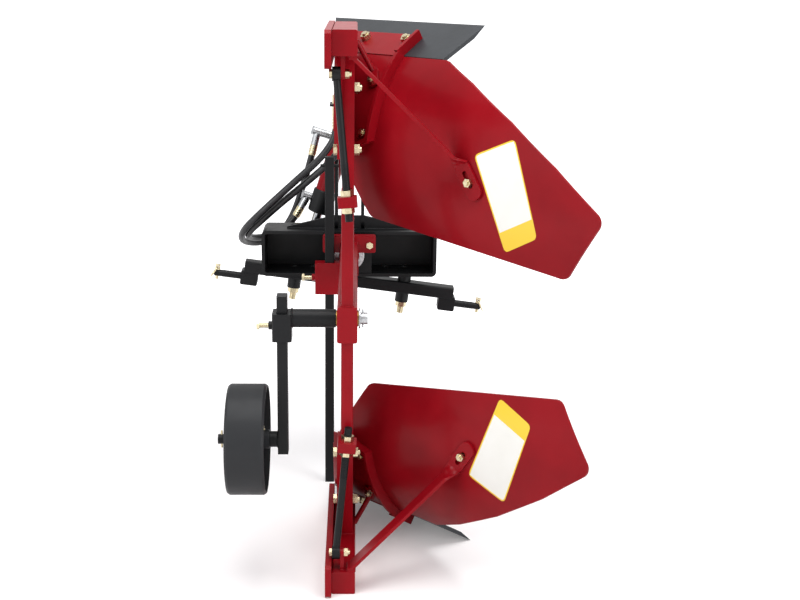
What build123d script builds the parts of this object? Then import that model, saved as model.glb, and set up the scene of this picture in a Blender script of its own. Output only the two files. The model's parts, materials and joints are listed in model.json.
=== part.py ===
"""Reversible plough for a three-point hitch, in millimetres, +Y forward and +Z up.

The origin lies on the ground under the rear post, in the vertical plane of the turnover axis. The
lower body is modelled, and the upper body is its mirror image in the level plane of that axis.
"""

import os
from math import cos, hypot, radians, sin, tan

from build123d import *

os.makedirs("parts", exist_ok=True)

# Fits and clearances
RUNNING = 0.05  # radial gap of a shaft in its bush or hub
SEAT_GAP = 0.1  # radial gap of a welded or pressed tube in its hole
BOLT_GAP = 0.6  # radial gap of a bolt in its hole
NUT_GAP = 0.05  # radial gap of a nut on its thread
SLIDE_GAP = 0.4  # gap each side of a bar that slides in its sleeve
FACE_GAP = 0.3  # gap between two faces that turn past each other
LINCH_GAP = 0.3  # radial gap of a linch pin in its hole
KEEPER_GAP = 0.1  # radial gap of a cross pin in its hole
NUT_LIFT = 0.3  # nut off a curved back

# Fasteners: size, across flats, head height, nut height
M12 = (12.0, 19.0, 7.5, 10.0)
M16 = (16.0, 24.0, 10.0, 13.0)
M20 = (20.0, 30.0, 12.5, 16.0)
BOLT_TIP = 5.0  # thread that stands out of a nut
FLUSH_HEAD = 0.95  # radius of a countersunk head, in bolt sizes
FLUSH_DEPTH = 0.45  # depth of that head, in bolt sizes
SCREW_REACH = 32.0  # under a set screw's head to the face that it goes into
KEEPER_RADIUS = 2.5  # cross pins through the pivot pins and the axle
WASHER_THICK = 4.0
PIN_HEAD = 8.0  # head of a cylinder pin

# Turnover axis and main beam
AXIS_HEIGHT = 704.0  # ground to the turnover axis
BEAM_WIDTH = 50.0
BEAM_HEIGHT = 90.0
BEAM_WALL = 6.0
BEAM_REAR = -25.0  # rear end of the main beam
PLATE_REAR = 745.0  # where the main beam meets the frame plate

# Frame plate and shaft
PLATE_THICK = 12.0
PLATE_ARM_WIDTH = 158.0
PLATE_ARM_HEIGHT = 52.0
PLATE_ARM_Z = 40.0  # middle of the arms above the axis
PLATE_STEM_WIDTH = 56.0
PLATE_STEM_BOTTOM = -56.0
PLATE_BOLT_SPAN = 122.0
PLATE_BOLT_Z = 37.0
PLATE_CORNER = 6.0
SHAFT_RADIUS = 30.0
BUSH_WALL = 5.0
BUSH_LENGTH = 45.0
TUBE_WALL = 10.0
THRUST_WASHER = 3.0
TUBE_FRONT = 990.0  # front end of the bearing tube

# Headstock beam
HEAD_WIDTH = 530.0
HEAD_HEIGHT = 140.0
HEAD_DEPTH = 135.0
HEAD_WALL = 10.0
HEAD_CORNER = 16.0
HEAD_REAR = 790.0
HOLE_PITCH = 57.0
HOLE_COUNT = 7
HOLE_RADIUS = 11.0
HOLE_SETBACK = 35.0  # hole row behind the front wall
EAR_WIDTH = 80.0
EAR_DEPTH = 62.0

# Mast
MAST_GAP = 70.0  # inner width between the mast plates
MAST_PLATE = 10.0
MAST_TOP = 505.0  # above the axis
MAST_FOOT_REAR = 825.0
MAST_HEAD_DEPTH = 70.0
MAST_FRONT = 985.0
MAST_KNEE = 80.0  # bend of the front edge below the cylinder pivot
PIVOT_PLATE_HEIGHT = 110.0
PIVOT_PLATE_DROP = 10.0  # middle of that plate below the cylinder pivot
TOP_LINK_RADIUS = 9.75
MAST_HEIGHT = 610.0  # lower hitch pins to top link hole
RIB_REACH = 190.0  # roof-shaped rib, half width at the beam
RIB_RISE = 40.0
RIB_END = 5.0  # rib's height at its ends

# Hitch bar, rolled about the lengthwise axis
HITCH_SPREAD = 683.0  # between the pin shoulders
HITCH_ROLL = 7.3
HITCH_Y = 955.0
HITCH_DROP = 117.0  # turnover axis to the middle of the bar
BAR_SETBACK = 9.5  # bar's end inside the pin shoulders
BAR_LENGTH = HITCH_SPREAD - 2 * BAR_SETBACK
BAR_DEPTH = 52.0
BAR_HEIGHT = 38.0
BAR_WALL = 6.0
PIN_BLOCK_WIDTH = 54.0
PIN_BLOCK_DEPTH = 44.0
PIN_BLOCK_HEIGHT = 46.0
PIN_BLOCK_CORNER = 6.0
PIN_BLOCK_SINK = 8.0  # how far the pin block is let into the bar
HITCH_PIN_RADIUS = 11.0
HITCH_PIN_REACH = 85.0
HITCH_PIN_BEARING = 58.0  # full-size stretch outside the shoulder
PIN_RELIEF = 0.3
PIN_INSET = 4.0  # inner end of a hitch pin inside its block
PIN_CHAMFER = 3.0
LINCH_SETBACK = 10.0  # linch pin hole to the pin's end
LINCH_RADIUS = 5.0
LINCH_HEAD = 16.0  # width of the linch pin's head
LINCH_CORNER = 3.0
LINCH_TIP = 20.0  # linch pin below the hitch pin's middle
RING_RADIUS = 18.0
RING_WIRE = 2.25
RING_LEAN = 30.0
BOSS_RADIUS = 21.0
BOSS_DROP = 30.0
TAPER_WASHER = 6.0  # taper washer above the ear
HITCH_BOLT_TIP = 22.0  # hitch bolt below its nut

# Lower body: the share's edge runs from the landside forward tip to the wing
SHARE_ANGLE = 42.5  # share edge to the direction of travel
SHARE_EDGE_N = 443.5  # share edge from the axis, square to the edge
SHARE_RUN = 127.0  # level width of the share
SHARE_RISE = 81.0
SHARE_THICK = 10.0
SHARE_BEVEL = 45.0
SHARE_WING_S = -25.0  # wing tip along the edge
LANDSIDE_FACE = -40.0  # plane of the share's landside end
BOARD_THICK = 6.0
FROG_THICK = 10.0
BOARD_GAP = 2.5  # joint between share and mouldboard
BOARD_TOP = AXIS_HEIGHT - 584.0  # upper limit of the rolled sheet, from the axis
FRONT_SECTION_S = 560.0
FRONT_WAIST = (144.0, AXIS_HEIGHT - 299.0)
FRONT_TOP_N = 174.0
TAIL_SECTION_S = -570.0
TAIL_WAIST = (266.0, AXIS_HEIGHT - 329.0)
TAIL_TOP_N = 287.0
TAIL_CORNER = 26.0
WING_SLANT = 25.0  # how far the share's wing end runs in at its inner corner
SHIN_TOP = (257.0, AXIS_HEIGHT - 272.0)
SHOULDER = (119.0, AXIS_HEIGHT - 481.0)
TAIL_INNER = (-456.0, AXIS_HEIGHT - 559.0)
TAIL_OUTER = Vector(-558.0, AXIS_HEIGHT - 405.0)
BOARD_WING = Vector(28.0, AXIS_HEIGHT - 64.0)
BOARD_BULGE = 30.0  # how far the edge from tail to wing bows outwards
BOARD_FRONT_S = 620.0  # beyond the landside face, which trims the sheet
FROG_SIDE = (
    (138.0, AXIS_HEIGHT - 14.0),
    (130.0, AXIS_HEIGHT - 140.0),
    (118.0, AXIS_HEIGHT - 288.0),
    (176.0, AXIS_HEIGHT - 314.0),
)
FROG_FRONT_S = 700.0  # beyond the landside face, which trims the frog
FROG_RIB_WIDTH = 10.0
FROG_RIB_RISE = 16.0
FROG_SETBACK = 2.5  # frog's end inside the share's landside end
SEAT_SETBACK = 70.0  # share seat behind the share's edge
SHARE_BOLTS = (165.0, 318.0)
SHARE_BOLT_SETBACK = 100.0
BOARD_BOLT = (149.0, AXIS_HEIGHT - 270.0)
STRUT_BOLT = (168.0, AXIS_HEIGHT - 106.0)

# Legs, soles and landsides
LEG_THICK = 30.0
LEG_ROOT = (25.0, 125.0)  # rear and front edge at the main beam
LEG_TIP = (192.0, 280.0)  # rear and front edge at the sole beam
CHEEK_THICK = 12.0
CHEEK_TOP = AXIS_HEIGHT - 319.0
CHEEK_REAR = (112.0, 184.0)  # rear edge at the top and at the sole beam
CHEEK_FRONT = 545.0
LEG_BOLT_HEIGHTS = (154.0, 303.0)
SOLE_WIDTH = 60.0
SOLE_MIDDLE = -8.0
SOLE_WALL = 5.0
HEEL_REAR = -40.0
SOLE_FRONT = 425.0
LANDSIDE_THICK = 16.0
LANDSIDE_HEIGHT = 88.0
LANDSIDE_REAR = -67.0
LANDSIDE_FRONT = 480.0
LANDSIDE_CHAMFER = 8.0
LANDSIDE_BOLTS = (80.0, 370.0)

# Rear posts and adjusting rods
POST_WIDTH = 30.0
POST_WALL = 4.0
POST_CORNER = 1.0  # inside the tube
ROD_Y = -31.0  # rod in its block, behind the post
ROD_BLOCK_W = 305.0  # rod block middle from the axis
ROD_BLOCK_SIZE = 46.0
ROD_BLOCK_THICK = 26.0
ROD_BLOCK_CORNER = 4.0
ROD_EYE_W = AXIS_HEIGHT - 102.0
ROD_EYE_X = -27.0
ROD_EYE_Y = -12.0
ROD_RADIUS = 9.0
ROD_EYE_RADIUS = 17.0
ROD_EYE_THICK = 20.0
ROD_TAIL = 47.0  # rod beyond the block's middle
LUG_THICK = 10.0
LUG_RADIUS = 13.0

# Tail braces
BRACE_THICK = 8.0
BRACE_WIDTH = 50.0
BRACE_Y = -10.0
BRACE_BOLT = (272.0, -12.0, AXIS_HEIGHT - 358.0)
BRACE_FOOT = (2.0, 21.0)
BRACE_BEND = 34.0  # last stretch of the bar, which turns flat to the mouldboard
TAB_WIDTH = 42.0
TAB_ENDS = (-45.0, 55.0)  # tab past the bolt and towards the foot
TAB_SLOT = (-14.0, 32.0)

# Struts between the sole beams and the frogs
STRUT_RADIUS = 7.0
STRUT_FOOT = (305.0, 42.0)  # on the sole beam's right side: y and height
STRUT_TAB_THICK = 8.0
STRUT_TAB_WIDTH = 30.0
STRUT_TAB_ENDS = (-15.0, 42.0)

# Depth wheel
PIVOT_Y = 45.0
PIVOT_RADIUS = 15.0
PIVOT_BUSH_RADIUS = 20.0
PIVOT_BUSH_REACH = 3.0
PIVOT_PIN_TAIL = 22.0  # pivot pin beyond its bush
PIVOT_KEEPER = 6.0  # cross pin's middle beyond the washer
PIVOT_KEEPER_PROUD = 8.0
CARRIER_RADIUS = 23.0
SLEEVE_X = -161.0
SLEEVE_WIDTH = 48.0
SLEEVE_DEPTH = 62.0
SLEEVE_TOP = 16.0
SLEEVE_BOTTOM = -54.0
SLEEVE_CORNER = 5.0
ARM_WIDTH = 26.0
ARM_DEPTH = 40.0
ARM_TOP = 59.0
ARM_BOTTOM = -351.0
ARM_CORNER = 2.0
AXLE_Z = -317.0
AXLE_RADIUS = 12.5
WHEEL_RADIUS = 140.0
WHEEL_WIDTH = 97.0
WHEEL_X = -250.0
WHEEL_RIM = 7.0
WHEEL_WEB = 6.0
WEB_AT_HUB = -14.0  # web's left face from the wheel's middle
WEB_AT_RIM = 4.0
WEB_KNEE = 0.62  # where the web turns flat, in wheel radii
RIM_BEVEL = (6.0, 4.0)  # across and into the rim's edge
HUB_RADIUS = 24.0
AXLE_END = -325.0
AXLE_TAIL = 22.0  # axle beyond the hub
AXLE_KEEPER = 9.0  # cross pin's middle to the axle's end
AXLE_KEEPER_PROUD = 10.0
HUB_SPACE = 22.0  # arm to the hub

# Parking stand
STAND_X = -58.0
STAND_Y = 720.0
STAND_WIDTH = 27.0
STAND_TOP = 306.0
STAND_CORNER = 2.0
STOP_PIN_RADIUS = 5.0
SOCKET_LEFT = -101.0
SOCKET_TOP = -9.0
SOCKET_BOTTOM = -104.0
SOCKET_WALL = 6.5
SOCKET_CORNER = 3.0

# Turnover cylinder
CYL_PIVOT_Z = 400.0
CRANK_RADIUS = 125.0
CRANK_THICK = 18.0
CRANK_REAR = 1000.0
CRANK_EYE = 26.0
CRANK_HUB = 46.0
CYL_PIN_RADIUS = 12.5
CYL_EYE_RADIUS = 26.0
CYL_EYE_WIDTH = 28.0
CYL_PIN_TAIL = 22.0  # pivot pin beyond the cylinder's eye
CYL_PIN_WASHER = 11.0
CYL_KEEPER = 14.0  # cross pin's middle beyond the cylinder's eye
CYL_CLEAR = 2.0  # cylinder rod ahead of the crank
BARREL_RADIUS = 32.0
BARREL_WALL = 6.0
BARREL_START = 104.0
BARREL_END = 258.0
CAP_START = 30.0
CAP_STEP = 3.0  # cap's radius over the barrel's
CAP_CHAMFER = 2.0
CAP_NECK_SINK = 2.0  # eye's neck let into the cap
GLAND_END = 332.0
GLAND_RADIUS = 37.0
GLAND_CHAMFER = 3.0
PISTON_THICK = 26.0
PISTON_SETBACK = 6.0  # piston from the barrel's start
ROD_EYE_SINK = 0.85  # rod's end inside its eye, in eye radii
ROD_SHANK_RADIUS = 16.0
PORT_UPPER = 88.0
PORT_LOWER = 292.0
UPPER_REACH = 80.0
LOWER_REACH = 50.0
UNION_RADIUS = 12.5
UNION_HEX = 7.0  # height of the banjo bolt's head

# Hoses with couplers in a shelf on the mast
HOSE_RADIUS = 10.5
FERRULE_LENGTH = 42.0
FERRULE_WALL = 1.5
COUPLER_XS = (-40.0, -2.0)
COUPLER_Y = 850.0
COUPLER_RADIUS = 13.0
COUPLER_NECK = 9.5
COUPLER_BODY = 34.0
COUPLER_NOSE = 26.0
SHELF_Z = 440.0  # lower face above the axis
SHELF_THICK = 6.0
SHELF_REAR = 828.0
SHELF_FRONT = 912.0
SHELF_LEFT = -60.0

# Directions worked out from the sizes above
ANGLE = radians(SHARE_ANGLE)
EDGE = Vector(-sin(ANGLE), cos(ANGLE), 0)
SQUARE = Vector(cos(ANGLE), sin(ANGLE), 0)
CENTRE = Vector(0, 0, AXIS_HEIGHT)
FAR = 1000.0  # longer than any cut
TURNOVER_PLANE = Plane.XY.offset(AXIS_HEIGHT)
HEAD_FRONT = HEAD_REAR + HEAD_DEPTH
SHAFT_FLANGE = PLATE_REAR + PLATE_THICK
TUBE_REAR = SHAFT_FLANGE + PLATE_THICK + FACE_GAP + THRUST_WASHER
BUSH_RADIUS = SHAFT_RADIUS + BUSH_WALL
TUBE_RADIUS = BUSH_RADIUS + TUBE_WALL
EAR_X = HOLE_PITCH * (HOLE_COUNT - 1) / 2
HALF_MAST = MAST_GAP / 2 + MAST_PLATE
CRANK_FRONT = CRANK_REAR + CRANK_THICK
CYL_Y = CRANK_FRONT + CYL_CLEAR + ROD_SHANK_RADIUS


def rear_view(y):
    """Plane across the plough at y, seen from behind: local x is X and local y is Z from the axis."""
    return Plane((0, y, AXIS_HEIGHT), x_dir=(1, 0, 0), z_dir=(0, -1, 0))


def side_view(x):
    """Plane along the plough at x: local x is Y and local y is Z from the axis."""
    return Plane((x, 0, AXIS_HEIGHT), x_dir=(0, 1, 0), z_dir=(1, 0, 0))


def low(x, y, w):
    """Point of the lower body, w below the axis."""
    return Vector(x, y, AXIS_HEIGHT - w)


def board_section(s):
    """Plane square to the share's edge: local x is the distance n, local y the depth w."""
    return Plane(CENTRE + EDGE * s, x_dir=SQUARE, z_dir=EDGE)


def save(node, label):
    """Label a finished sub-part and write it to its own file."""
    node.part.label = label
    export_step(node.part, f"parts/{label}.step")


def hex_bolt(seat, grip, sizes):
    """Hex bolt with its head on the seat plane and its nut past the grip."""
    size, flats, head, nut = sizes
    with BuildPart() as bolt:
        with BuildSketch(seat):
            RegularPolygon(flats / 2, 6, major_radius=False)
        extrude(amount=-head)
        with BuildSketch(seat):
            Circle(size / 2)
        extrude(amount=grip + nut + BOLT_TIP)
        with BuildSketch(seat.offset(grip)):
            RegularPolygon(flats / 2, 6, major_radius=False)
            Circle(size / 2 + NUT_GAP, mode=Mode.SUBTRACT)
        extrude(amount=nut)
    return bolt.part


def flush_bolt(seat, grip, sizes):
    """Countersunk bolt with its head level with the seat plane and a nut past the grip."""
    size, flats, _, nut = sizes
    with BuildPart() as bolt:
        with BuildSketch(seat):
            Circle(size * FLUSH_HEAD)
        with BuildSketch(seat.offset(size * FLUSH_DEPTH)):
            Circle(size / 2)
        loft()
        with BuildSketch(seat):
            Circle(size / 2)
        extrude(amount=grip + nut + BOLT_TIP)
        with BuildSketch(seat.offset(grip)):
            RegularPolygon(flats / 2, 6, major_radius=False)
            Circle(size / 2 + NUT_GAP, mode=Mode.SUBTRACT)
        extrude(amount=nut)
    return bolt.part


def flush_hole(seat, grip, sizes):
    """Cutter for a countersunk bolt: its shape with the bolts' clearance, open ahead of the seat."""
    size = sizes[0]
    with BuildPart() as cutter:
        with BuildSketch(seat):
            Circle(size * FLUSH_HEAD + BOLT_GAP)
        with BuildSketch(seat.offset(size * FLUSH_DEPTH)):
            Circle(size / 2 + BOLT_GAP)
        loft()
        with BuildSketch(seat):
            Circle(size * FLUSH_HEAD + BOLT_GAP)
        extrude(amount=-BOLT_TIP)
        with BuildSketch(seat):
            Circle(size / 2 + BOLT_GAP)
        extrude(amount=grip + BOLT_TIP)
    return cutter.part


def tube_hole(seat, radius, length):
    """Plain round cutter, length to both sides of the seat plane."""
    with BuildPart() as cutter:
        with BuildSketch(seat):
            Circle(radius)
        extrude(amount=length, both=True)
    return cutter.part


# Hitch bar and its fasteners share one rolled frame: local x along the bar, local y up, local z to the rear
roll = radians(HITCH_ROLL)
HITCH_PIN_DROP = BAR_HEIGHT / 2 + PIN_BLOCK_HEIGHT / 2 - PIN_BLOCK_SINK
BAR_PLANE = Plane((0, HITCH_Y, AXIS_HEIGHT - HITCH_DROP), x_dir=(cos(roll), 0, -sin(roll)), z_dir=(0, -1, 0))
BAR_UP = Plane(BAR_PLANE.origin, x_dir=BAR_PLANE.x_dir, z_dir=BAR_PLANE.y_dir)
BAR_END = Plane(BAR_PLANE.origin, x_dir=(0, 1, 0), z_dir=BAR_PLANE.x_dir)
BOLT_U = EAR_X / cos(roll)
PIN_BLOCK_X = HITCH_SPREAD / 2 - PIN_BLOCK_WIDTH / 2
EAR_TOP = AXIS_HEIGHT - HEAD_HEIGHT / 2 + HEAD_WALL
EAR_BOTTOM = AXIS_HEIGHT - HEAD_HEIGHT / 2


def bar_point(u, v, w):
    """Point in the hitch bar's rolled frame: along the bar, up and to the rear."""
    return BAR_PLANE.from_local_coords((u, v, w))


def hitch_bolt_foot(side):
    """Plane under the boss of one hitch bolt, facing up along the bolt."""
    foot = bar_point(side * BOLT_U, -BAR_HEIGHT / 2 - BOSS_DROP, 0)
    return Plane(foot, x_dir=BAR_UP.x_dir, z_dir=BAR_UP.z_dir)


# Headstock beam: channel open to the rear, with hole rows, two ears for the hitch bar and a roof-shaped rib
with BuildPart() as headstock_beam:
    with BuildSketch(rear_view(HEAD_FRONT)):
        RectangleRounded(HEAD_WIDTH, HEAD_HEIGHT, HEAD_CORNER)
    extrude(amount=HEAD_DEPTH)
    with BuildSketch(rear_view(HEAD_FRONT - HEAD_WALL)):
        RectangleRounded(HEAD_WIDTH - 2 * HEAD_WALL, HEAD_HEIGHT - 2 * HEAD_WALL, HEAD_CORNER - HEAD_WALL)
    extrude(amount=HEAD_DEPTH, mode=Mode.SUBTRACT)
    with Locations((0, HEAD_FRONT + EAR_DEPTH / 2, AXIS_HEIGHT - HEAD_HEIGHT / 2 + HEAD_WALL / 2)):
        with GridLocations(2 * EAR_X, 1, 2, 1):
            Box(EAR_WIDTH, EAR_DEPTH, HEAD_WALL)
    fillet(headstock_beam.edges().filter_by(Axis.Z).group_by(Axis.Y)[-1], EAR_WIDTH / 5)
    with Locations((0, HEAD_FRONT - HOLE_SETBACK, AXIS_HEIGHT)):
        with GridLocations(HOLE_PITCH, 1, HOLE_COUNT, 1):
            Cylinder(HOLE_RADIUS, HEAD_HEIGHT * 1.2, mode=Mode.SUBTRACT)
    for side in (-1, 1):
        with BuildSketch(hitch_bolt_foot(side)):
            Circle(M20[0] / 2 + BOLT_GAP)
        extrude(amount=2 * HITCH_DROP, mode=Mode.SUBTRACT)
    with Locations((0, HEAD_REAR + HEAD_WALL, AXIS_HEIGHT)):
        Box(3 * TUBE_RADIUS, HEAD_WALL, HEAD_HEIGHT - HEAD_WALL)
    with BuildSketch(rear_view(HEAD_FRONT)):
        Circle(TUBE_RADIUS + SEAT_GAP)
    extrude(amount=HEAD_DEPTH, mode=Mode.SUBTRACT)
    with BuildSketch(rear_view(MAST_FOOT_REAR + MAST_PLATE)):
        with BuildLine():
            Polyline(
                (-RIB_REACH, HEAD_HEIGHT / 2),
                (RIB_REACH, HEAD_HEIGHT / 2),
                (RIB_REACH, HEAD_HEIGHT / 2 + RIB_END),
                (HALF_MAST, HEAD_HEIGHT / 2 + RIB_RISE),
                (-HALF_MAST, HEAD_HEIGHT / 2 + RIB_RISE),
                (-RIB_REACH, HEAD_HEIGHT / 2 + RIB_END),
                close=True,
            )
        make_face()
        with Locations((MAST_GAP / 2, HEAD_HEIGHT / 2), (-HALF_MAST, HEAD_HEIGHT / 2)):
            Rectangle(MAST_PLATE, RIB_RISE, align=(Align.MIN, Align.MIN), mode=Mode.SUBTRACT)
    extrude(amount=-MAST_PLATE)
save(headstock_beam, "headstock_beam")

# Bearing tube with a bush at each end and a thrust washer behind
with BuildPart() as bearing_tube:
    with BuildSketch(rear_view(TUBE_REAR)):
        Circle(TUBE_RADIUS)
        Circle(BUSH_RADIUS + SEAT_GAP, mode=Mode.SUBTRACT)
    extrude(amount=TUBE_REAR - TUBE_FRONT)
save(bearing_tube, "bearing_tube")

with BuildPart() as shaft_bushes:
    for rear in (TUBE_REAR, TUBE_FRONT - BUSH_LENGTH):
        with BuildSketch(rear_view(rear)):
            Circle(BUSH_RADIUS)
            Circle(SHAFT_RADIUS + RUNNING, mode=Mode.SUBTRACT)
        extrude(amount=-BUSH_LENGTH)
save(shaft_bushes, "shaft_bushes")

with BuildPart() as thrust_washer:
    with BuildSketch(rear_view(TUBE_REAR)):
        Circle(TUBE_RADIUS)
        Circle(SHAFT_RADIUS + RUNNING, mode=Mode.SUBTRACT)
    extrude(amount=THRUST_WASHER)
save(thrust_washer, "thrust_washer")

# Mast: two side plates, a front plate that carries the cylinder pivot and a shelf for the hose couplers
TOP_LINK_Z = MAST_HEIGHT - HITCH_DROP - HITCH_PIN_DROP
coupler_seats = [
    Plane((x, COUPLER_Y, AXIS_HEIGHT + SHELF_Z), x_dir=(1, 0, 0), z_dir=(0, 0, 1)) for x in COUPLER_XS
]
with BuildPart() as mast:
    with BuildSketch(side_view(MAST_GAP / 2)) as mast_outline:
        with BuildLine():
            Polyline(
                (MAST_FOOT_REAR, HEAD_HEIGHT / 2),
                (HEAD_FRONT, HEAD_HEIGHT / 2),
                (MAST_FRONT, CYL_PIVOT_Z - MAST_KNEE),
                (MAST_FRONT, MAST_TOP),
                (MAST_FRONT - MAST_HEAD_DEPTH, MAST_TOP),
                close=True,
            )
        make_face()
        fillet(mast_outline.vertices().group_by(Axis.Z)[-1], MAST_HEAD_DEPTH / 3)
        with Locations((MAST_FRONT - MAST_HEAD_DEPTH / 2, TOP_LINK_Z)):
            Circle(TOP_LINK_RADIUS, mode=Mode.SUBTRACT)
    extrude(amount=MAST_PLATE)
    mirror(about=Plane.YZ)
    with BuildSketch(rear_view(MAST_FRONT - MAST_PLATE)):
        with Locations((0, CYL_PIVOT_Z - PIVOT_PLATE_DROP)):
            Rectangle(MAST_GAP, PIVOT_PLATE_HEIGHT)
        with Locations((0, CYL_PIVOT_Z)):
            Circle(CYL_PIN_RADIUS + SEAT_GAP, mode=Mode.SUBTRACT)
    extrude(amount=-MAST_PLATE)
    with BuildSketch(Plane.XY.offset(AXIS_HEIGHT + SHELF_Z)):
        with Locations((SHELF_LEFT, SHELF_REAR)):
            Rectangle(HALF_MAST - SHELF_LEFT, SHELF_FRONT - SHELF_REAR, align=(Align.MIN, Align.MIN))
        with Locations(*[(x, COUPLER_Y) for x in COUPLER_XS]):
            Circle(COUPLER_NECK + SEAT_GAP, mode=Mode.SUBTRACT)
    extrude(amount=SHELF_THICK)
save(mast, "mast")

# Cylinder pivot pin: headed behind the mast's front plate, with a shoulder and a kept washer ahead
PIVOT_FRONT = CYL_Y + CYL_EYE_WIDTH / 2
with BuildPart() as cylinder_pivot_pin:
    for start, stop, radius in (
        (MAST_FRONT - MAST_PLATE - PIN_HEAD, MAST_FRONT - MAST_PLATE, CYL_PIN_RADIUS * 1.5),
        (MAST_FRONT - MAST_PLATE, PIVOT_FRONT + CYL_PIN_TAIL, CYL_PIN_RADIUS),
        (MAST_FRONT, CYL_Y - CYL_EYE_WIDTH / 2 - FACE_GAP, CYL_PIN_RADIUS * 1.5),
    ):
        with BuildSketch(rear_view(start)):
            with Locations((0, CYL_PIVOT_Z)):
                Circle(radius)
        extrude(amount=start - stop)
    with Locations((0, PIVOT_FRONT + CYL_KEEPER, AXIS_HEIGHT + CYL_PIVOT_Z)):
        Cylinder(KEEPER_RADIUS + KEEPER_GAP, 4 * CYL_PIN_RADIUS, mode=Mode.SUBTRACT)
    with BuildSketch(rear_view(PIVOT_FRONT + FACE_GAP)):
        with Locations((0, CYL_PIVOT_Z)):
            Circle(CYL_PIN_RADIUS * 1.8)
            Circle(CYL_PIN_RADIUS + SEAT_GAP, mode=Mode.SUBTRACT)
    extrude(amount=-CYL_PIN_WASHER)
    with Locations((0, PIVOT_FRONT + CYL_KEEPER, AXIS_HEIGHT + CYL_PIVOT_Z)):
        Cylinder(KEEPER_RADIUS, 3.6 * CYL_PIN_RADIUS)
save(cylinder_pivot_pin, "cylinder_pivot_pin")

# Hitch bar
with BuildPart() as hitch_bar:
    with BuildSketch(BAR_END.offset(-BAR_LENGTH / 2)):
        RectangleRounded(BAR_DEPTH, BAR_HEIGHT, BAR_WALL)
        RectangleRounded(
            BAR_DEPTH - 2 * BAR_WALL, BAR_HEIGHT - 2 * BAR_WALL, BAR_WALL / 2, mode=Mode.SUBTRACT
        )
    extrude(amount=BAR_LENGTH)
    with BuildSketch(BAR_PLANE):
        with Locations((PIN_BLOCK_X, -HITCH_PIN_DROP), (-PIN_BLOCK_X, -HITCH_PIN_DROP)):
            RectangleRounded(PIN_BLOCK_WIDTH, PIN_BLOCK_HEIGHT, PIN_BLOCK_CORNER)
    extrude(amount=PIN_BLOCK_DEPTH / 2, both=True)
    with BuildSketch(BAR_UP.offset(BAR_HEIGHT / 2)):
        with Locations((BOLT_U, 0), (-BOLT_U, 0)):
            Circle(BOSS_RADIUS)
    extrude(amount=-BAR_HEIGHT - BOSS_DROP)
    with BuildSketch(BAR_UP.offset(BAR_HEIGHT / 2)):
        with Locations((BOLT_U, 0), (-BOLT_U, 0)):
            Circle(M20[0] / 2 + BOLT_GAP)
    extrude(amount=-BAR_HEIGHT - BOSS_DROP, mode=Mode.SUBTRACT)
    with BuildSketch(BAR_END.offset(-HITCH_SPREAD / 2)):
        with Locations((0, -HITCH_PIN_DROP)):
            Circle(HITCH_PIN_RADIUS - PIN_RELIEF + SEAT_GAP)
    extrude(amount=PIN_BLOCK_WIDTH, mode=Mode.SUBTRACT)
    with BuildSketch(BAR_END.offset(HITCH_SPREAD / 2)):
        with Locations((0, -HITCH_PIN_DROP)):
            Circle(HITCH_PIN_RADIUS - PIN_RELIEF + SEAT_GAP)
    extrude(amount=-PIN_BLOCK_WIDTH, mode=Mode.SUBTRACT)
save(hitch_bar, "hitch_bar")

PIN_STEPS = (
    (PIN_INSET - PIN_BLOCK_WIDTH, 0, HITCH_PIN_RADIUS - PIN_RELIEF),
    (0, HITCH_PIN_BEARING, HITCH_PIN_RADIUS),
    (HITCH_PIN_BEARING, HITCH_PIN_REACH, HITCH_PIN_RADIUS - PIN_RELIEF),
)
with BuildPart() as lower_hitch_pins:
    for side in (-1, 1):
        for near, far, radius in PIN_STEPS:
            with BuildSketch(BAR_END.offset(side * (HITCH_SPREAD / 2 + near))):
                with Locations((0, -HITCH_PIN_DROP)):
                    Circle(radius)
            extrude(amount=side * (far - near))
        with BuildSketch(BAR_UP):
            with Locations((side * (HITCH_SPREAD / 2 + HITCH_PIN_REACH - LINCH_SETBACK), 0)):
                Circle(LINCH_RADIUS + LINCH_GAP)
        extrude(amount=3 * HITCH_PIN_DROP, both=True, mode=Mode.SUBTRACT)
    for tip in (0, -1):
        chamfer(lower_hitch_pins.edges().filter_by(GeomType.CIRCLE).group_by(Axis.X)[tip], PIN_CHAMFER)
save(lower_hitch_pins, "lower_hitch_pins")

for side_name, side in (("left", -1), ("right", 1)):
    linch_axis = Plane(
        bar_point(side * (HITCH_SPREAD / 2 + HITCH_PIN_REACH - LINCH_SETBACK), -HITCH_PIN_DROP, 0),
        x_dir=BAR_UP.x_dir,
        z_dir=BAR_UP.z_dir,
    )
    lean = radians(RING_LEAN)
    hang = linch_axis.z_dir * -cos(lean) + linch_axis.x_dir * side * sin(lean)
    ring_top = linch_axis.offset(HITCH_PIN_RADIUS + FACE_GAP + LINCH_HEAD / 2).origin
    ring_axis = Axis(ring_top + hang * RING_RADIUS, hang.cross(Vector(0, 1, 0)))
    with BuildPart() as linch_pin:
        with BuildSketch(linch_axis.offset(HITCH_PIN_RADIUS + FACE_GAP)):
            RectangleRounded(LINCH_HEAD, LINCH_HEAD, LINCH_CORNER)
        extrude(amount=LINCH_HEAD)
        with BuildSketch(linch_axis.offset(-LINCH_TIP)):
            Circle(LINCH_RADIUS)
        extrude(amount=LINCH_TIP + HITCH_PIN_RADIUS + FACE_GAP)
        with BuildSketch(Plane(ring_top, x_dir=linch_axis.x_dir, z_dir=(0, 1, 0))):
            Circle(RING_WIRE * 2)
        extrude(amount=LINCH_HEAD, both=True, mode=Mode.SUBTRACT)
        with BuildSketch(Plane(ring_top, x_dir=hang, z_dir=(0, 1, 0))):
            Circle(RING_WIRE)
        revolve(axis=ring_axis)
    save(linch_pin, f"{side_name}_linch_pin")

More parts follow.
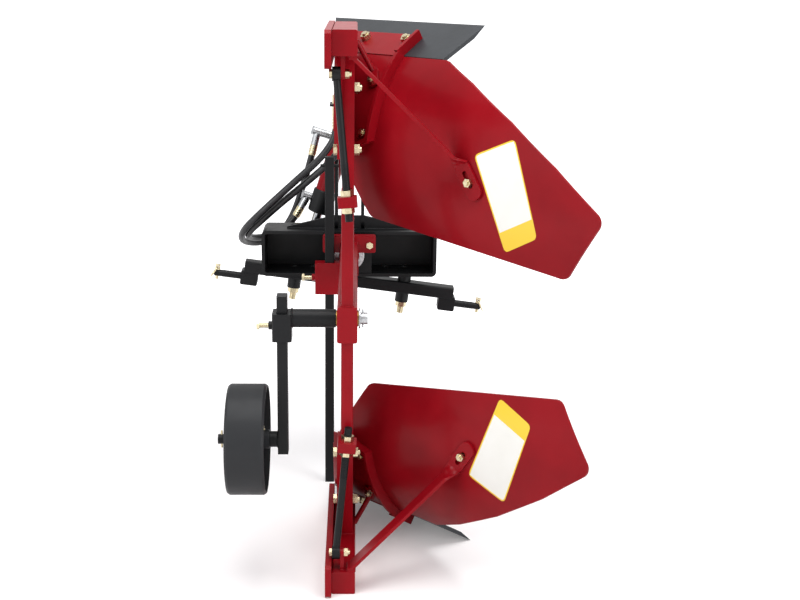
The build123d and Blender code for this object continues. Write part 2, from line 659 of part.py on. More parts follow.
with BuildPart() as hitch_bolts:
    for side in (-1, 1):
        bolt_foot = hitch_bolt_foot(side)
        grip = (EAR_TOP + TAPER_WASHER - bolt_foot.origin.Z) / cos(roll)
        with BuildSketch(bolt_foot):
            Circle(M20[0] / 2)
        extrude(amount=grip)
        with BuildSketch(bolt_foot):
            Circle(M20[0] / 2)
        extrude(amount=-M20[3] - HITCH_BOLT_TIP)
        with BuildSketch(bolt_foot.offset(grip)):
            RegularPolygon(M20[1] / 2, 6, major_radius=False)
        extrude(amount=M20[2])
        with BuildSketch(bolt_foot):
            RegularPolygon(M20[1] / 2, 6, major_radius=False)
            Circle(M20[0] / 2 + NUT_GAP, mode=Mode.SUBTRACT)
        extrude(amount=-M20[3])
save(hitch_bolts, "hitch_bolts")

ear_space = Plane.XY.offset((EAR_TOP + EAR_BOTTOM) / 2)
with BuildPart() as hitch_spacers:
    for side in (-1, 1):
        bar_top = Plane(bar_point(side * BOLT_U, BAR_HEIGHT / 2, 0), x_dir=BAR_UP.x_dir, z_dir=BAR_UP.z_dir)
        with BuildSketch(bar_top):
            Circle(BOSS_RADIUS)
            Circle(M20[0] / 2 + BOLT_GAP, mode=Mode.SUBTRACT)
        extrude(amount=(EAR_TOP + TAPER_WASHER - bar_top.origin.Z) / cos(roll))
    with BuildSketch(ear_space):
        Rectangle(FAR, 4 * FAR)
    extrude(amount=HEAD_WALL / 2, both=True, mode=Mode.SUBTRACT)
save(hitch_spacers, "hitch_spacers")


def plate_sketch(plane):
    """T-shaped outline of the frame plate and of the shaft's flange, with their bolt holes."""
    with BuildSketch(plane) as outline:
        with Locations((0, PLATE_ARM_Z)):
            Rectangle(PLATE_ARM_WIDTH, PLATE_ARM_HEIGHT)
        fillet(outline.vertices(), PLATE_CORNER)
        with Locations((0, PLATE_STEM_BOTTOM)):
            Rectangle(PLATE_STEM_WIDTH, PLATE_ARM_Z - PLATE_STEM_BOTTOM, align=(Align.CENTER, Align.MIN))
        with Locations((PLATE_BOLT_SPAN / 2, PLATE_BOLT_Z), (-PLATE_BOLT_SPAN / 2, PLATE_BOLT_Z)):
            Circle(M12[0] / 2 + BOLT_GAP, mode=Mode.SUBTRACT)
    return outline.sketch


# Main shaft with its rear flange, and the crank flush with its front end
with BuildPart() as main_shaft:
    extrude(plate_sketch(rear_view(SHAFT_FLANGE)), amount=-PLATE_THICK)
    with BuildSketch(rear_view(SHAFT_FLANGE)):
        Circle(SHAFT_RADIUS)
    extrude(amount=SHAFT_FLANGE - CRANK_FRONT)
save(main_shaft, "main_shaft")

with BuildPart() as crank:
    with BuildSketch(rear_view(CRANK_FRONT)):
        Circle(CRANK_HUB)
        with Locations((-CRANK_RADIUS, 0)):
            Circle(CRANK_EYE)
        make_hull()
        with Locations((-CRANK_RADIUS, 0)):
            Circle(CYL_PIN_RADIUS + RUNNING, mode=Mode.SUBTRACT)
    extrude(amount=CRANK_THICK)
    with BuildSketch(rear_view(CRANK_REAR)):
        Circle(CRANK_HUB)
    extrude(amount=CRANK_REAR - TUBE_FRONT - FACE_GAP)
    with BuildSketch(rear_view(CRANK_FRONT)):
        Circle(SHAFT_RADIUS + SEAT_GAP)
    extrude(amount=CRANK_FRONT - TUBE_FRONT, mode=Mode.SUBTRACT)
save(crank, "crank")

# Frame plate bolted to the shaft's flange
plate_bolt_seats = [
    Plane((x, PLATE_REAR, AXIS_HEIGHT + PLATE_BOLT_Z), z_dir=(0, 1, 0))
    for x in (-PLATE_BOLT_SPAN / 2, PLATE_BOLT_SPAN / 2)
]
with BuildPart() as frame_plate:
    extrude(plate_sketch(rear_view(PLATE_REAR)), amount=-PLATE_THICK)
save(frame_plate, "frame_plate")

plate_bolts = [hex_bolt(seat, 2 * PLATE_THICK, M12) for seat in plate_bolt_seats]
with BuildPart() as frame_plate_bolts:
    add(plate_bolts)
save(frame_plate_bolts, "frame_plate_bolts")

# Main beam: rectangular tube with a closed rear end, bored for the wheel's pivot pin
with BuildPart() as main_beam:
    with BuildSketch(rear_view(PLATE_REAR)):
        RectangleRounded(BEAM_WIDTH, BEAM_HEIGHT, BEAM_WALL)
    extrude(amount=PLATE_REAR - BEAM_REAR)
    with BuildSketch(rear_view(PLATE_REAR)):
        RectangleRounded(BEAM_WIDTH - 2 * BEAM_WALL, BEAM_HEIGHT - 2 * BEAM_WALL, BEAM_WALL / 2)
    extrude(amount=PLATE_REAR - BEAM_REAR - BEAM_WALL, mode=Mode.SUBTRACT)
    with BuildSketch(side_view(0)):
        with Locations((PIVOT_Y, 0)):
            Circle(PIVOT_BUSH_RADIUS + SEAT_GAP)
    extrude(amount=BEAM_WIDTH, both=True, mode=Mode.SUBTRACT)
save(main_beam, "main_beam")

# Lower body: share line and rolled sheet in sections square to the share's edge
SHARE_SLOPE = hypot(SHARE_RUN, SHARE_RISE)
SHARE_EDGE = Vector(SHARE_EDGE_N, AXIS_HEIGHT)
SHARE_BACK = SHARE_EDGE - Vector(SHARE_RUN, SHARE_RISE)
SHARE_ALONG = Vector(-SHARE_RUN, -SHARE_RISE) * (1 / SHARE_SLOPE)
SHARE_FACE = Vector(SHARE_RISE, -SHARE_RUN) * (1 / SHARE_SLOPE)
BOARD_FOOT = SHARE_BACK + SHARE_ALONG * BOARD_GAP
SECTIONS = {
    FRONT_SECTION_S: (FRONT_WAIST, (FRONT_TOP_N, BOARD_TOP)),
    TAIL_SECTION_S: (TAIL_WAIST, (TAIL_TOP_N, BOARD_TOP)),
}
OUTLINE = Plane(CENTRE, x_dir=EDGE, z_dir=-SQUARE)


def sheet_profile(s, thick):
    """Strip of sheet in one section: on the working side if thick is positive, else behind it."""
    waist, top = SECTIONS[s]
    with BuildSketch(board_section(s)) as profile:
        with BuildLine():
            back = ThreePointArc(BOARD_FOOT, waist, top)
            hub = back.arc_center
            foot, middle, head = [hub + (back @ t - hub) * (1 - thick / back.radius) for t in (0, 0.5, 1)]
            Line(back @ 1, head)
            ThreePointArc(head, middle, foot)
            Line(foot, back @ 0)
        make_face()
    return profile.sketch


def working_profile(s):
    """Space ahead of the share's underside and the sheet's back, in one section."""
    waist, top = SECTIONS[s]
    with BuildSketch(board_section(s)) as profile:
        with BuildLine():
            Line(SHARE_EDGE, BOARD_FOOT)
            ThreePointArc(BOARD_FOOT, waist, top)
            Polyline(top, (FAR, BOARD_TOP), (FAR, AXIS_HEIGHT), SHARE_EDGE)
        make_face()
    return profile.sketch


def between_sections(profile, *sizes):
    """Ruled solid between the tail section and the front section of a profile."""
    ends = [profile(s, *sizes) for s in (TAIL_SECTION_S, FRONT_SECTION_S)]
    with BuildPart() as solid:
        loft(ends, ruled=True)
    return solid.part


def outline_prism(points, radius):
    """Prism with a rounded outline in (s, w), square to the share's edge."""
    with BuildPart() as prism:
        with BuildSketch(OUTLINE):
            with BuildLine():
                FilletPolyline(*points, radius=radius, close=True)
            make_face()
        extrude(amount=FAR, both=True)
    return prism.part


board_sheet = between_sections(sheet_profile, BOARD_THICK)
frog_sheet = between_sections(sheet_profile, -FROG_THICK)
rib_sheet = between_sections(sheet_profile, -FROG_THICK - FROG_RIB_RISE)
working_space = between_sections(working_profile)
working_face = board_sheet.faces().sort_by(SortBy.AREA)[-2:].sort_by(Axis(CENTRE, SQUARE))[-1]


def share_seat(s, setback):
    """Plane on the share's working face, facing its back."""
    spot = SHARE_EDGE + SHARE_ALONG * setback + SHARE_FACE * SHARE_THICK
    section = board_section(s)
    origin = section.from_local_coords(spot)
    return Plane(origin, x_dir=EDGE, z_dir=section.from_local_coords(spot - SHARE_FACE) - origin)


def board_seat(s, w):
    """Plane on the mouldboard's working face near (s, w), facing its back."""
    share_of_tail = (FRONT_SECTION_S - s) / (FRONT_SECTION_S - TAIL_SECTION_S)
    n = FRONT_WAIST[0] + (TAIL_WAIST[0] - FRONT_WAIST[0]) * share_of_tail
    guess = CENTRE + EDGE * s + SQUARE * n - Vector(0, 0, w)
    spot = working_face.closest_points(Vertex(guess))[0]
    return Plane(spot, x_dir=EDGE, z_dir=-working_face.normal_at(spot))


def leg_middle(height):
    """Middle of the leg's width at a height above the ground."""
    root, tip = sum(LEG_ROOT) / 2, sum(LEG_TIP) / 2
    return tip + (root - tip) * (height - SOLE_WIDTH) / (AXIS_HEIGHT - BEAM_HEIGHT / 2 - SOLE_WIDTH)


leg_bolt_seats = [
    Plane((-LEG_THICK / 2 - CHEEK_THICK, leg_middle(height), height), z_dir=(1, 0, 0))
    for height in LEG_BOLT_HEIGHTS
]
share_bolt_seats = [share_seat(s, SHARE_BOLT_SETBACK) for s in SHARE_BOLTS]
board_bolt_seat = board_seat(*BOARD_BOLT)
strut_bolt_seat = board_seat(*STRUT_BOLT)
brace_seat = board_seat(
    EDGE.dot(Vector(BRACE_BOLT[0], BRACE_BOLT[1], 0)),
    BRACE_BOLT[2],
)
SHARE_GRIP = SHARE_THICK + FROG_THICK
BOARD_GRIP = BOARD_THICK + FROG_THICK + NUT_LIFT
STRUT_GRIP = BOARD_GRIP + STRUT_TAB_THICK
LEG_GRIP = LEG_THICK + CHEEK_THICK

share_holes = [flush_hole(seat, SHARE_GRIP, M16) for seat in share_bolt_seats]
board_holes = [flush_hole(seat, STRUT_GRIP, M12) for seat in (board_bolt_seat, strut_bolt_seat, brace_seat)]
leg_holes = [tube_hole(seat, M16[0] / 2 + BOLT_GAP, LEG_GRIP + 1) for seat in leg_bolt_seats]

# Share
WING_TIP = board_section(SHARE_WING_S).from_local_coords(SHARE_EDGE)
WING_INNER = board_section(SHARE_WING_S + WING_SLANT).from_local_coords(SHARE_BACK)
wing_run = Vector(WING_INNER.X - WING_TIP.X, WING_INNER.Y - WING_TIP.Y, 0)
wing_plane = Plane(WING_TIP, x_dir=wing_run, z_dir=Vector(wing_run.Y, -wing_run.X, 0))
with BuildPart() as lower_share:
    with BuildSketch(board_section(SHARE_WING_S)):
        with BuildLine():
            Polyline(
                SHARE_EDGE,
                SHARE_BACK,
                SHARE_BACK + SHARE_FACE * SHARE_THICK,
                SHARE_EDGE + SHARE_ALONG * SHARE_BEVEL + SHARE_FACE * SHARE_THICK,
                close=True,
            )
        make_face()
    extrude(amount=FAR)
    split(bisect_by=Plane((LANDSIDE_FACE, 0, 0), z_dir=(1, 0, 0)), keep=Keep.TOP)
    split(bisect_by=wing_plane, keep=Keep.TOP)
    add(share_holes, mode=Mode.SUBTRACT)
save(lower_share, "lower_share")

# Mouldboard
tail_edge = BOARD_WING - TAIL_OUTER
bow = Vector(-tail_edge.Y, tail_edge.X) * (1 / tail_edge.length)
bowed_edge = [
    TAIL_OUTER + tail_edge * t + bow * (4 * BOARD_BULGE * t * (1 - t)) for t in (0, 0.25, 0.5, 0.75, 1)
]
board_outline = outline_prism(
    (
        (BOARD_FRONT_S, BOARD_WING.Y),
        (BOARD_FRONT_S, SHIN_TOP[1]),
        SHIN_TOP,
        SHOULDER,
        TAIL_INNER,
        *[(point.X, point.Y) for point in bowed_edge],
    ),
    TAIL_CORNER,
)
with BuildPart() as lower_mouldboard:
    add(board_sheet)
    add(board_outline, mode=Mode.INTERSECT)
    split(bisect_by=Plane((LANDSIDE_FACE, 0, 0), z_dir=(1, 0, 0)), keep=Keep.TOP)
    add(board_holes, mode=Mode.SUBTRACT)
save(lower_mouldboard, "lower_mouldboard")

# Frog: curved plate with a rib behind the mouldboard, share seat and the cheek bolted to the leg
SOLE_TOP = AXIS_HEIGHT - SOLE_WIDTH
RIB_INSIDE = tuple((s + FROG_RIB_WIDTH, w + FROG_RIB_WIDTH * (k > 1)) for k, (s, w) in enumerate(FROG_SIDE))
frog_outline = outline_prism(
    (*FROG_SIDE, (FROG_FRONT_S, FROG_SIDE[-1][1]), (FROG_FRONT_S, FROG_SIDE[0][1])),
    FROG_THICK / 2,
)
rib_outline = outline_prism((*FROG_SIDE, *reversed(RIB_INSIDE)), FROG_RIB_WIDTH / 5)
with BuildPart() as frog_rib:
    add(rib_sheet)
    add(rib_outline, mode=Mode.INTERSECT)
with BuildPart() as lower_frog:
    add(frog_sheet)
    add(frog_outline, mode=Mode.INTERSECT)
    add(frog_rib.part)
    for depth, width in ((FROG_THICK, FAR), (FROG_THICK + FROG_RIB_RISE, FROG_RIB_WIDTH)):
        with BuildSketch(board_section(FROG_SIDE[0][0])):
            with BuildLine():
                Polyline(
                    SHARE_EDGE + SHARE_ALONG * SEAT_SETBACK,
                    BOARD_FOOT + SHARE_ALONG * FROG_THICK,
                    BOARD_FOOT + SHARE_ALONG * FROG_THICK - SHARE_FACE * depth,
                    SHARE_EDGE + SHARE_ALONG * SEAT_SETBACK - SHARE_FACE * depth,
                    close=True,
                )
            make_face()
        extrude(amount=width)
    with BuildSketch(side_view(-LEG_THICK / 2 - CHEEK_THICK)):
        with BuildLine():
            Polyline(
                (CHEEK_REAR[1], -SOLE_TOP),
                (CHEEK_FRONT, -SOLE_TOP),
                (CHEEK_FRONT, -CHEEK_TOP),
                (CHEEK_REAR[0], -CHEEK_TOP),
                close=True,
            )
        make_face()
    extrude(amount=CHEEK_THICK)
    add(working_space, mode=Mode.SUBTRACT)
    split(bisect_by=Plane((LANDSIDE_FACE + FROG_SETBACK, 0, 0), z_dir=(1, 0, 0)), keep=Keep.TOP)
    add(share_holes + board_holes + leg_holes, mode=Mode.SUBTRACT)
save(lower_frog, "lower_frog")

# Leg
with BuildPart() as lower_leg:
    with BuildSketch(side_view(-LEG_THICK / 2)):
        with BuildLine():
            Polyline(
                (LEG_ROOT[0], -BEAM_HEIGHT / 2),
                (LEG_ROOT[1], -BEAM_HEIGHT / 2),
                (LEG_TIP[1], SOLE_WIDTH - AXIS_HEIGHT),
                (LEG_TIP[0], SOLE_WIDTH - AXIS_HEIGHT),
                close=True,
            )
        make_face()
    extrude(amount=LEG_THICK)
    add(leg_holes, mode=Mode.SUBTRACT)
save(lower_leg, "lower_leg")

# Sole beam: square tube closed at the heel, with a lug for the adjusting rod's eye and a strut to the frog
landside_seats = [
    Plane(low(SOLE_MIDDLE - SOLE_WIDTH / 2 - LANDSIDE_THICK, y, SOLE_TOP + SOLE_WIDTH / 2), z_dir=(1, 0, 0))
    for y in LANDSIDE_BOLTS
]
LANDSIDE_GRIP = LANDSIDE_THICK + SOLE_WALL
landside_holes = [flush_hole(seat, LANDSIDE_GRIP, M12) for seat in landside_seats]
EYE_SEAT = Plane(low(ROD_EYE_X - ROD_EYE_THICK / 2, ROD_EYE_Y, ROD_EYE_W), z_dir=(1, 0, 0))
EYE_GRIP = ROD_EYE_THICK + FACE_GAP + LUG_THICK
eye_hole = tube_hole(EYE_SEAT, M12[0] / 2 + BOLT_GAP, EYE_GRIP + 1)
STRUT_START = Vector(SOLE_MIDDLE + SOLE_WIDTH / 2 - SOLE_WALL / 2, *STRUT_FOOT)


def tab_plane(back, foot):
    """Plane on a bolted plate's back at its bolt, with local x towards the bar's foot."""
    down = foot - back.origin
    return Plane(back.origin, x_dir=down - back.z_dir * down.dot(back.z_dir), z_dir=back.z_dir)


STRUT_TAB = tab_plane(strut_bolt_seat.offset(BOARD_GRIP), STRUT_START)
STRUT_END = STRUT_TAB.from_local_coords((STRUT_TAB_ENDS[1] - STRUT_RADIUS, 0, STRUT_TAB_THICK / 2))
with BuildPart() as lower_sole_beam:
    with BuildSketch(rear_view(HEEL_REAR)):
        with Locations((SOLE_MIDDLE, -SOLE_TOP - SOLE_WIDTH / 2)):
            RectangleRounded(SOLE_WIDTH, SOLE_WIDTH, SOLE_WALL)
    extrude(amount=HEEL_REAR - SOLE_FRONT)
    with BuildSketch(rear_view(HEEL_REAR + SOLE_WALL)):
        with Locations((SOLE_MIDDLE, -SOLE_TOP - SOLE_WIDTH / 2)):
            RectangleRounded(SOLE_WIDTH - 2 * SOLE_WALL, SOLE_WIDTH - 2 * SOLE_WALL, SOLE_WALL / 2)
    extrude(amount=HEEL_REAR - SOLE_FRONT, mode=Mode.SUBTRACT)
    with BuildSketch(side_view(ROD_EYE_X + ROD_EYE_THICK / 2 + FACE_GAP)):
        with Locations((ROD_EYE_Y, -ROD_EYE_W)):
            Circle(LUG_RADIUS)
            Rectangle(2 * LUG_RADIUS, SOLE_TOP - ROD_EYE_W, align=(Align.CENTER, Align.MAX))
    extrude(amount=LUG_THICK)
    with BuildSketch(Plane(STRUT_START, z_dir=STRUT_END - STRUT_START)):
        Circle(STRUT_RADIUS)
    extrude(amount=(STRUT_END - STRUT_START).length)
    with BuildSketch(STRUT_TAB):
        with Locations((sum(STRUT_TAB_ENDS) / 2, 0)):
            RectangleRounded(STRUT_TAB_ENDS[1] - STRUT_TAB_ENDS[0], STRUT_TAB_WIDTH, STRUT_TAB_WIDTH / 3)
        Circle(M12[0] / 2 + BOLT_GAP, mode=Mode.SUBTRACT)
    extrude(amount=STRUT_TAB_THICK)
    add(eye_hole, mode=Mode.SUBTRACT)
    add(landside_holes, mode=Mode.SUBTRACT)
    add(lower_frog.part, mode=Mode.SUBTRACT)
save(lower_sole_beam, "lower_sole_beam")

# Landside
with BuildPart() as lower_landside:
    with BuildSketch(side_view(SOLE_MIDDLE - SOLE_WIDTH / 2)):
        with BuildLine():
            Polyline(
                (LANDSIDE_REAR, -AXIS_HEIGHT),
                (LANDSIDE_FRONT, -AXIS_HEIGHT),
                (LANDSIDE_FRONT, LANDSIDE_HEIGHT - AXIS_HEIGHT),
                (LANDSIDE_REAR, LANDSIDE_HEIGHT - AXIS_HEIGHT),
                close=True,
            )
        make_face()
    extrude(amount=-LANDSIDE_THICK)
    chamfer(lower_landside.edges().filter_by(Axis.X).group_by(Axis.Y)[0], LANDSIDE_CHAMFER)
    add(landside_holes, mode=Mode.SUBTRACT)
save(lower_landside, "lower_landside")

# Rear post with its tilted rod block, and the adjusting rod with its eye
ROD_HEAD = low(0, ROD_Y, ROD_BLOCK_W)
ROD_RUN = low(ROD_EYE_X, ROD_EYE_Y, ROD_EYE_W) - ROD_HEAD
POST_BORE = POST_WIDTH - 2 * POST_WALL
BLOCK_PLANE = Plane(ROD_HEAD, x_dir=(0, 1, 0), z_dir=ROD_RUN)
with BuildPart() as lower_rear_post:
    with BuildSketch(Plane.XY.offset(AXIS_HEIGHT - BEAM_HEIGHT / 2)):
        RectangleRounded(POST_WIDTH, POST_WIDTH, POST_WALL)
        RectangleRounded(POST_BORE, POST_BORE, POST_CORNER, mode=Mode.SUBTRACT)
    extrude(amount=BEAM_HEIGHT / 2 - ROD_BLOCK_W - ROD_BLOCK_THICK)
    with BuildSketch(BLOCK_PLANE.offset(-ROD_BLOCK_THICK / 2)):
        RectangleRounded(ROD_BLOCK_SIZE, ROD_BLOCK_SIZE, ROD_BLOCK_CORNER)
    extrude(amount=ROD_BLOCK_THICK)
    with BuildSketch(BLOCK_PLANE):
        Circle(ROD_RADIUS + NUT_GAP)
    extrude(amount=ROD_BLOCK_THICK, both=True, mode=Mode.SUBTRACT)
save(lower_rear_post, "lower_rear_post")

with BuildPart() as lower_adjusting_rod:
    with BuildSketch(BLOCK_PLANE.offset(-ROD_TAIL)):
        Circle(ROD_RADIUS)
    extrude(amount=ROD_TAIL + ROD_RUN.length)
    with BuildSketch(EYE_SEAT):
        Circle(ROD_EYE_RADIUS)
    extrude(amount=ROD_EYE_THICK)
    split(bisect_by=EYE_SEAT, keep=Keep.TOP)
    add(eye_hole, mode=Mode.SUBTRACT)
save(lower_adjusting_rod, "lower_adjusting_rod")

# Tail brace from the sole beam to the mouldboard's back: flat bar, bent into a slotted tab
BRACE_START = low(sum(BRACE_FOOT) / 2, BRACE_Y, SOLE_TOP - BRACE_THICK / 2)
TAB_PLANE = tab_plane(brace_seat.offset(BOARD_THICK), BRACE_START)
BRACE_HEAD = TAB_PLANE.from_local_coords((TAB_ENDS[1] - BRACE_THICK, 0, BRACE_THICK / 2))
BRACE_RUN = BRACE_HEAD - BRACE_START
BEND_START = BRACE_HEAD - BRACE_RUN.normalized() * BRACE_BEND
across_tab = TAB_PLANE.y_dir if TAB_PLANE.y_dir.Y > 0 else -TAB_PLANE.y_dir
BRACE_GRIP = BOARD_THICK + BRACE_THICK
with BuildPart() as lower_tail_brace:
    with BuildSketch(Plane(BRACE_START, x_dir=(0, 1, 0), z_dir=BRACE_RUN)):
        Rectangle(BRACE_WIDTH, BRACE_THICK)
    extrude(amount=BRACE_RUN.length - BRACE_BEND)
    with BuildSketch(Plane(BEND_START, x_dir=(0, 1, 0), z_dir=BRACE_RUN)):
        Rectangle(BRACE_WIDTH, BRACE_THICK)
    with BuildSketch(Plane(BRACE_HEAD, x_dir=across_tab, z_dir=BRACE_RUN)):
        Rectangle(TAB_WIDTH, BRACE_THICK)
    loft(ruled=True)
    with BuildSketch(TAB_PLANE):
        with Locations((sum(TAB_ENDS) / 2, 0)):
            RectangleRounded(TAB_ENDS[1] - TAB_ENDS[0], TAB_WIDTH, TAB_WIDTH * 0.45)
        with Locations((sum(TAB_SLOT) / 2, 0)):
            SlotOverall(TAB_SLOT[1] - TAB_SLOT[0], M12[0] + 2 * BOLT_GAP, mode=Mode.SUBTRACT)
    extrude(amount=BRACE_THICK)
    with Locations(BRACE_START):
        Box(BRACE_FOOT[1] - BRACE_FOOT[0], BRACE_WIDTH, BRACE_THICK)
    add(working_space, mode=Mode.SUBTRACT)
    split(bisect_by=Plane.XY.offset(SOLE_WIDTH), keep=Keep.TOP)
save(lower_tail_brace, "lower_tail_brace")

# Upper body: mirror images of the lower body's pieces
lower_pieces = {
    "share": lower_share,
    "mouldboard": lower_mouldboard,
    "frog": lower_frog,
    "leg": lower_leg,
    "sole_beam": lower_sole_beam,
    "landside": lower_landside,
    "rear_post": lower_rear_post,
    "adjusting_rod": lower_adjusting_rod,
    "tail_brace": lower_tail_brace,
}
for piece_name, lower_piece in lower_pieces.items():
    with BuildPart() as upper_piece:
        mirror(lower_piece.part, about=TURNOVER_PLANE)
    save(upper_piece, f"upper_{piece_name}")

# Fasteners of both bodies
JAM_NUT = (2 * ROD_RADIUS, 27.0, 0.0, 14.0)
with BuildPart() as rod_jam_nuts:
    for near, far in ((ROD_BLOCK_THICK / 2, JAM_NUT[3]), (-ROD_BLOCK_THICK / 2, -JAM_NUT[3])):
        with BuildSketch(BLOCK_PLANE.offset(near)):
            RegularPolygon(JAM_NUT[1] / 2, 6, major_radius=False, rotation=30)
            Circle(ROD_RADIUS + NUT_GAP, mode=Mode.SUBTRACT)
        extrude(amount=far)
    mirror(about=TURNOVER_PLANE)
save(rod_jam_nuts, "rod_jam_nuts")

body_fasteners = {
    "rod_eye_bolts": [hex_bolt(EYE_SEAT, EYE_GRIP, M12)],
    "leg_bolts": [hex_bolt(seat, LEG_GRIP, M16) for seat in leg_bolt_seats],
    "share_bolts": [flush_bolt(seat, SHARE_GRIP, M16) for seat in share_bolt_seats],
    "mouldboard_bolts": [
        flush_bolt(board_bolt_seat, BOARD_GRIP, M12),
        flush_bolt(strut_bolt_seat, STRUT_GRIP, M12),
        flush_bolt(brace_seat, BRACE_GRIP, M12),
    ],
    "landside_bolts": [flush_bolt(seat, LANDSIDE_GRIP, M12) for seat in landside_seats],
}
for fastener_name, bolts in body_fasteners.items():
    with BuildPart() as fasteners:
        add(bolts)
        mirror(about=TURNOVER_PLANE)
    save(fasteners, fastener_name)

# Depth wheel: pivot bush in the main beam, carrier with its pin, arm with its axle, and the wheel
BUSH_LEFT = -BEAM_WIDTH / 2 - PIVOT_BUSH_REACH
PIN_RIGHT = BEAM_WIDTH / 2 + PIVOT_BUSH_REACH + FACE_GAP
SLEEVE_RIGHT = SLEEVE_X + SLEEVE_WIDTH / 2
with BuildPart() as pivot_bush:
    with BuildSketch(side_view(BUSH_LEFT)):
        with Locations((PIVOT_Y, 0)):
            Circle(PIVOT_BUSH_RADIUS)
            Circle(PIVOT_RADIUS + RUNNING, mode=Mode.SUBTRACT)
    extrude(amount=BEAM_WIDTH + 2 * PIVOT_BUSH_REACH)
save(pivot_bush, "pivot_bush")

SLEEVE_MIDDLE = (SLEEVE_TOP + SLEEVE_BOTTOM) / 2
carrier_axis = Plane((SLEEVE_X, PIVOT_Y, AXIS_HEIGHT + SLEEVE_MIDDLE), z_dir=(-1, 0, 0))
with BuildPart() as wheel_carrier:
    with BuildSketch(side_view(SLEEVE_RIGHT)):
        with Locations((PIVOT_Y, 0)):
            Circle(CARRIER_RADIUS)
    extrude(amount=BUSH_LEFT - FACE_GAP - SLEEVE_RIGHT)
    with BuildSketch(Plane.XY.offset(AXIS_HEIGHT + SLEEVE_BOTTOM)):
        with Locations((SLEEVE_X, PIVOT_Y)):
            RectangleRounded(SLEEVE_WIDTH, SLEEVE_DEPTH, SLEEVE_CORNER)
    extrude(amount=SLEEVE_TOP - SLEEVE_BOTTOM)
    with BuildSketch(Plane.XY.offset(AXIS_HEIGHT + SLEEVE_BOTTOM)):
        with Locations((SLEEVE_X, PIVOT_Y)):
            Rectangle(ARM_WIDTH + 2 * SLIDE_GAP, ARM_DEPTH + 2 * SLIDE_GAP)
    extrude(amount=SLEEVE_TOP - SLEEVE_BOTTOM, mode=Mode.SUBTRACT)
    with BuildSketch(side_view(SLEEVE_RIGHT + CARRIER_RADIUS / 2)):
        with Locations((PIVOT_Y, 0)):
            Circle(PIVOT_RADIUS + SEAT_GAP)
    extrude(amount=FAR, mode=Mode.SUBTRACT)
    with BuildSketch(carrier_axis.offset(SLEEVE_WIDTH / 2)):
        RegularPolygon(M12[1] / 2, 6, major_radius=False)
    extrude(amount=M12[3])
    with BuildSketch(carrier_axis):
        Circle(M12[0] / 2 + NUT_GAP)
    extrude(amount=SLEEVE_WIDTH, mode=Mode.SUBTRACT)
save(wheel_carrier, "wheel_carrier")

with BuildPart() as wheel_pivot_pin:
    with BuildSketch(side_view(SLEEVE_RIGHT + CARRIER_RADIUS / 2)):
        with Locations((PIVOT_Y, 0)):
            Circle(PIVOT_RADIUS)
    extrude(amount=PIN_RIGHT + PIVOT_PIN_TAIL - SLEEVE_RIGHT - CARRIER_RADIUS / 2)
    with BuildSketch(Plane.XY.offset(AXIS_HEIGHT)):
        with Locations((PIN_RIGHT + WASHER_THICK + PIVOT_KEEPER, PIVOT_Y)):
            Circle(KEEPER_RADIUS + KEEPER_GAP)
    extrude(amount=2 * PIVOT_RADIUS, both=True, mode=Mode.SUBTRACT)
    with BuildSketch(side_view(PIN_RIGHT)):
        with Locations((PIVOT_Y, 0)):
            Circle(PIVOT_RADIUS * 1.7)
            Circle(PIVOT_RADIUS + SEAT_GAP, mode=Mode.SUBTRACT)
    extrude(amount=WASHER_THICK)
    with BuildSketch(Plane.XY.offset(AXIS_HEIGHT)):
        with Locations((PIN_RIGHT + WASHER_THICK + PIVOT_KEEPER, PIVOT_Y)):
            Circle(KEEPER_RADIUS)
    extrude(amount=PIVOT_RADIUS + PIVOT_KEEPER_PROUD, both=True)
save(wheel_pivot_pin, "wheel_pivot_pin")


def set_screw(seat, tip, reach):
    """Hex-headed set screw along the seat's axis, from its tip to under its head."""
    size, flats, head, _ = M12
    with BuildPart() as screw:
        with BuildSketch(seat.offset(tip)):
            Circle(size / 2)
        extrude(amount=reach - tip)
        with BuildSketch(seat.offset(reach)):
            RegularPolygon(flats / 2, 6, major_radius=False)
        extrude(amount=head)
    return screw.part


carrier_screw_solid = set_screw(carrier_axis, ARM_WIDTH / 2 + SLIDE_GAP, SLEEVE_WIDTH / 2 + SCREW_REACH)
with BuildPart() as carrier_screw:
    add(carrier_screw_solid)
save(carrier_screw, "carrier_screw")

WHEEL_LEFT = WHEEL_X - WHEEL_WIDTH / 2
WHEEL_RIGHT = WHEEL_X + WHEEL_WIDTH / 2
ARM_LEFT = SLEEVE_X - ARM_WIDTH / 2
HUB_LEFT = AXLE_END + AXLE_TAIL
HUB_RIGHT = ARM_LEFT - HUB_SPACE
with BuildPart() as wheel_arm:
    with BuildSketch(Plane.XY.offset(AXIS_HEIGHT + ARM_BOTTOM)):
        with Locations((SLEEVE_X, PIVOT_Y)):
            RectangleRounded(ARM_WIDTH, ARM_DEPTH, ARM_CORNER)
    extrude(amount=ARM_TOP - ARM_BOTTOM)
    with BuildSketch(side_view(AXLE_END)):
        with Locations((PIVOT_Y, AXLE_Z)):
            Circle(AXLE_RADIUS)
    extrude(amount=SLEEVE_X - AXLE_END)
    with BuildSketch(side_view(HUB_RIGHT + FACE_GAP)):
        with Locations((PIVOT_Y, AXLE_Z)):
            Circle(AXLE_RADIUS * 1.6)
    extrude(amount=ARM_LEFT - HUB_RIGHT - FACE_GAP)
    with BuildSketch(Plane.XY.offset(AXIS_HEIGHT + AXLE_Z)):
        with Locations((AXLE_END + AXLE_KEEPER, PIVOT_Y)):
            Circle(KEEPER_RADIUS + KEEPER_GAP)
    extrude(amount=2 * AXLE_RADIUS, both=True, mode=Mode.SUBTRACT)
save(wheel_arm, "wheel_arm")

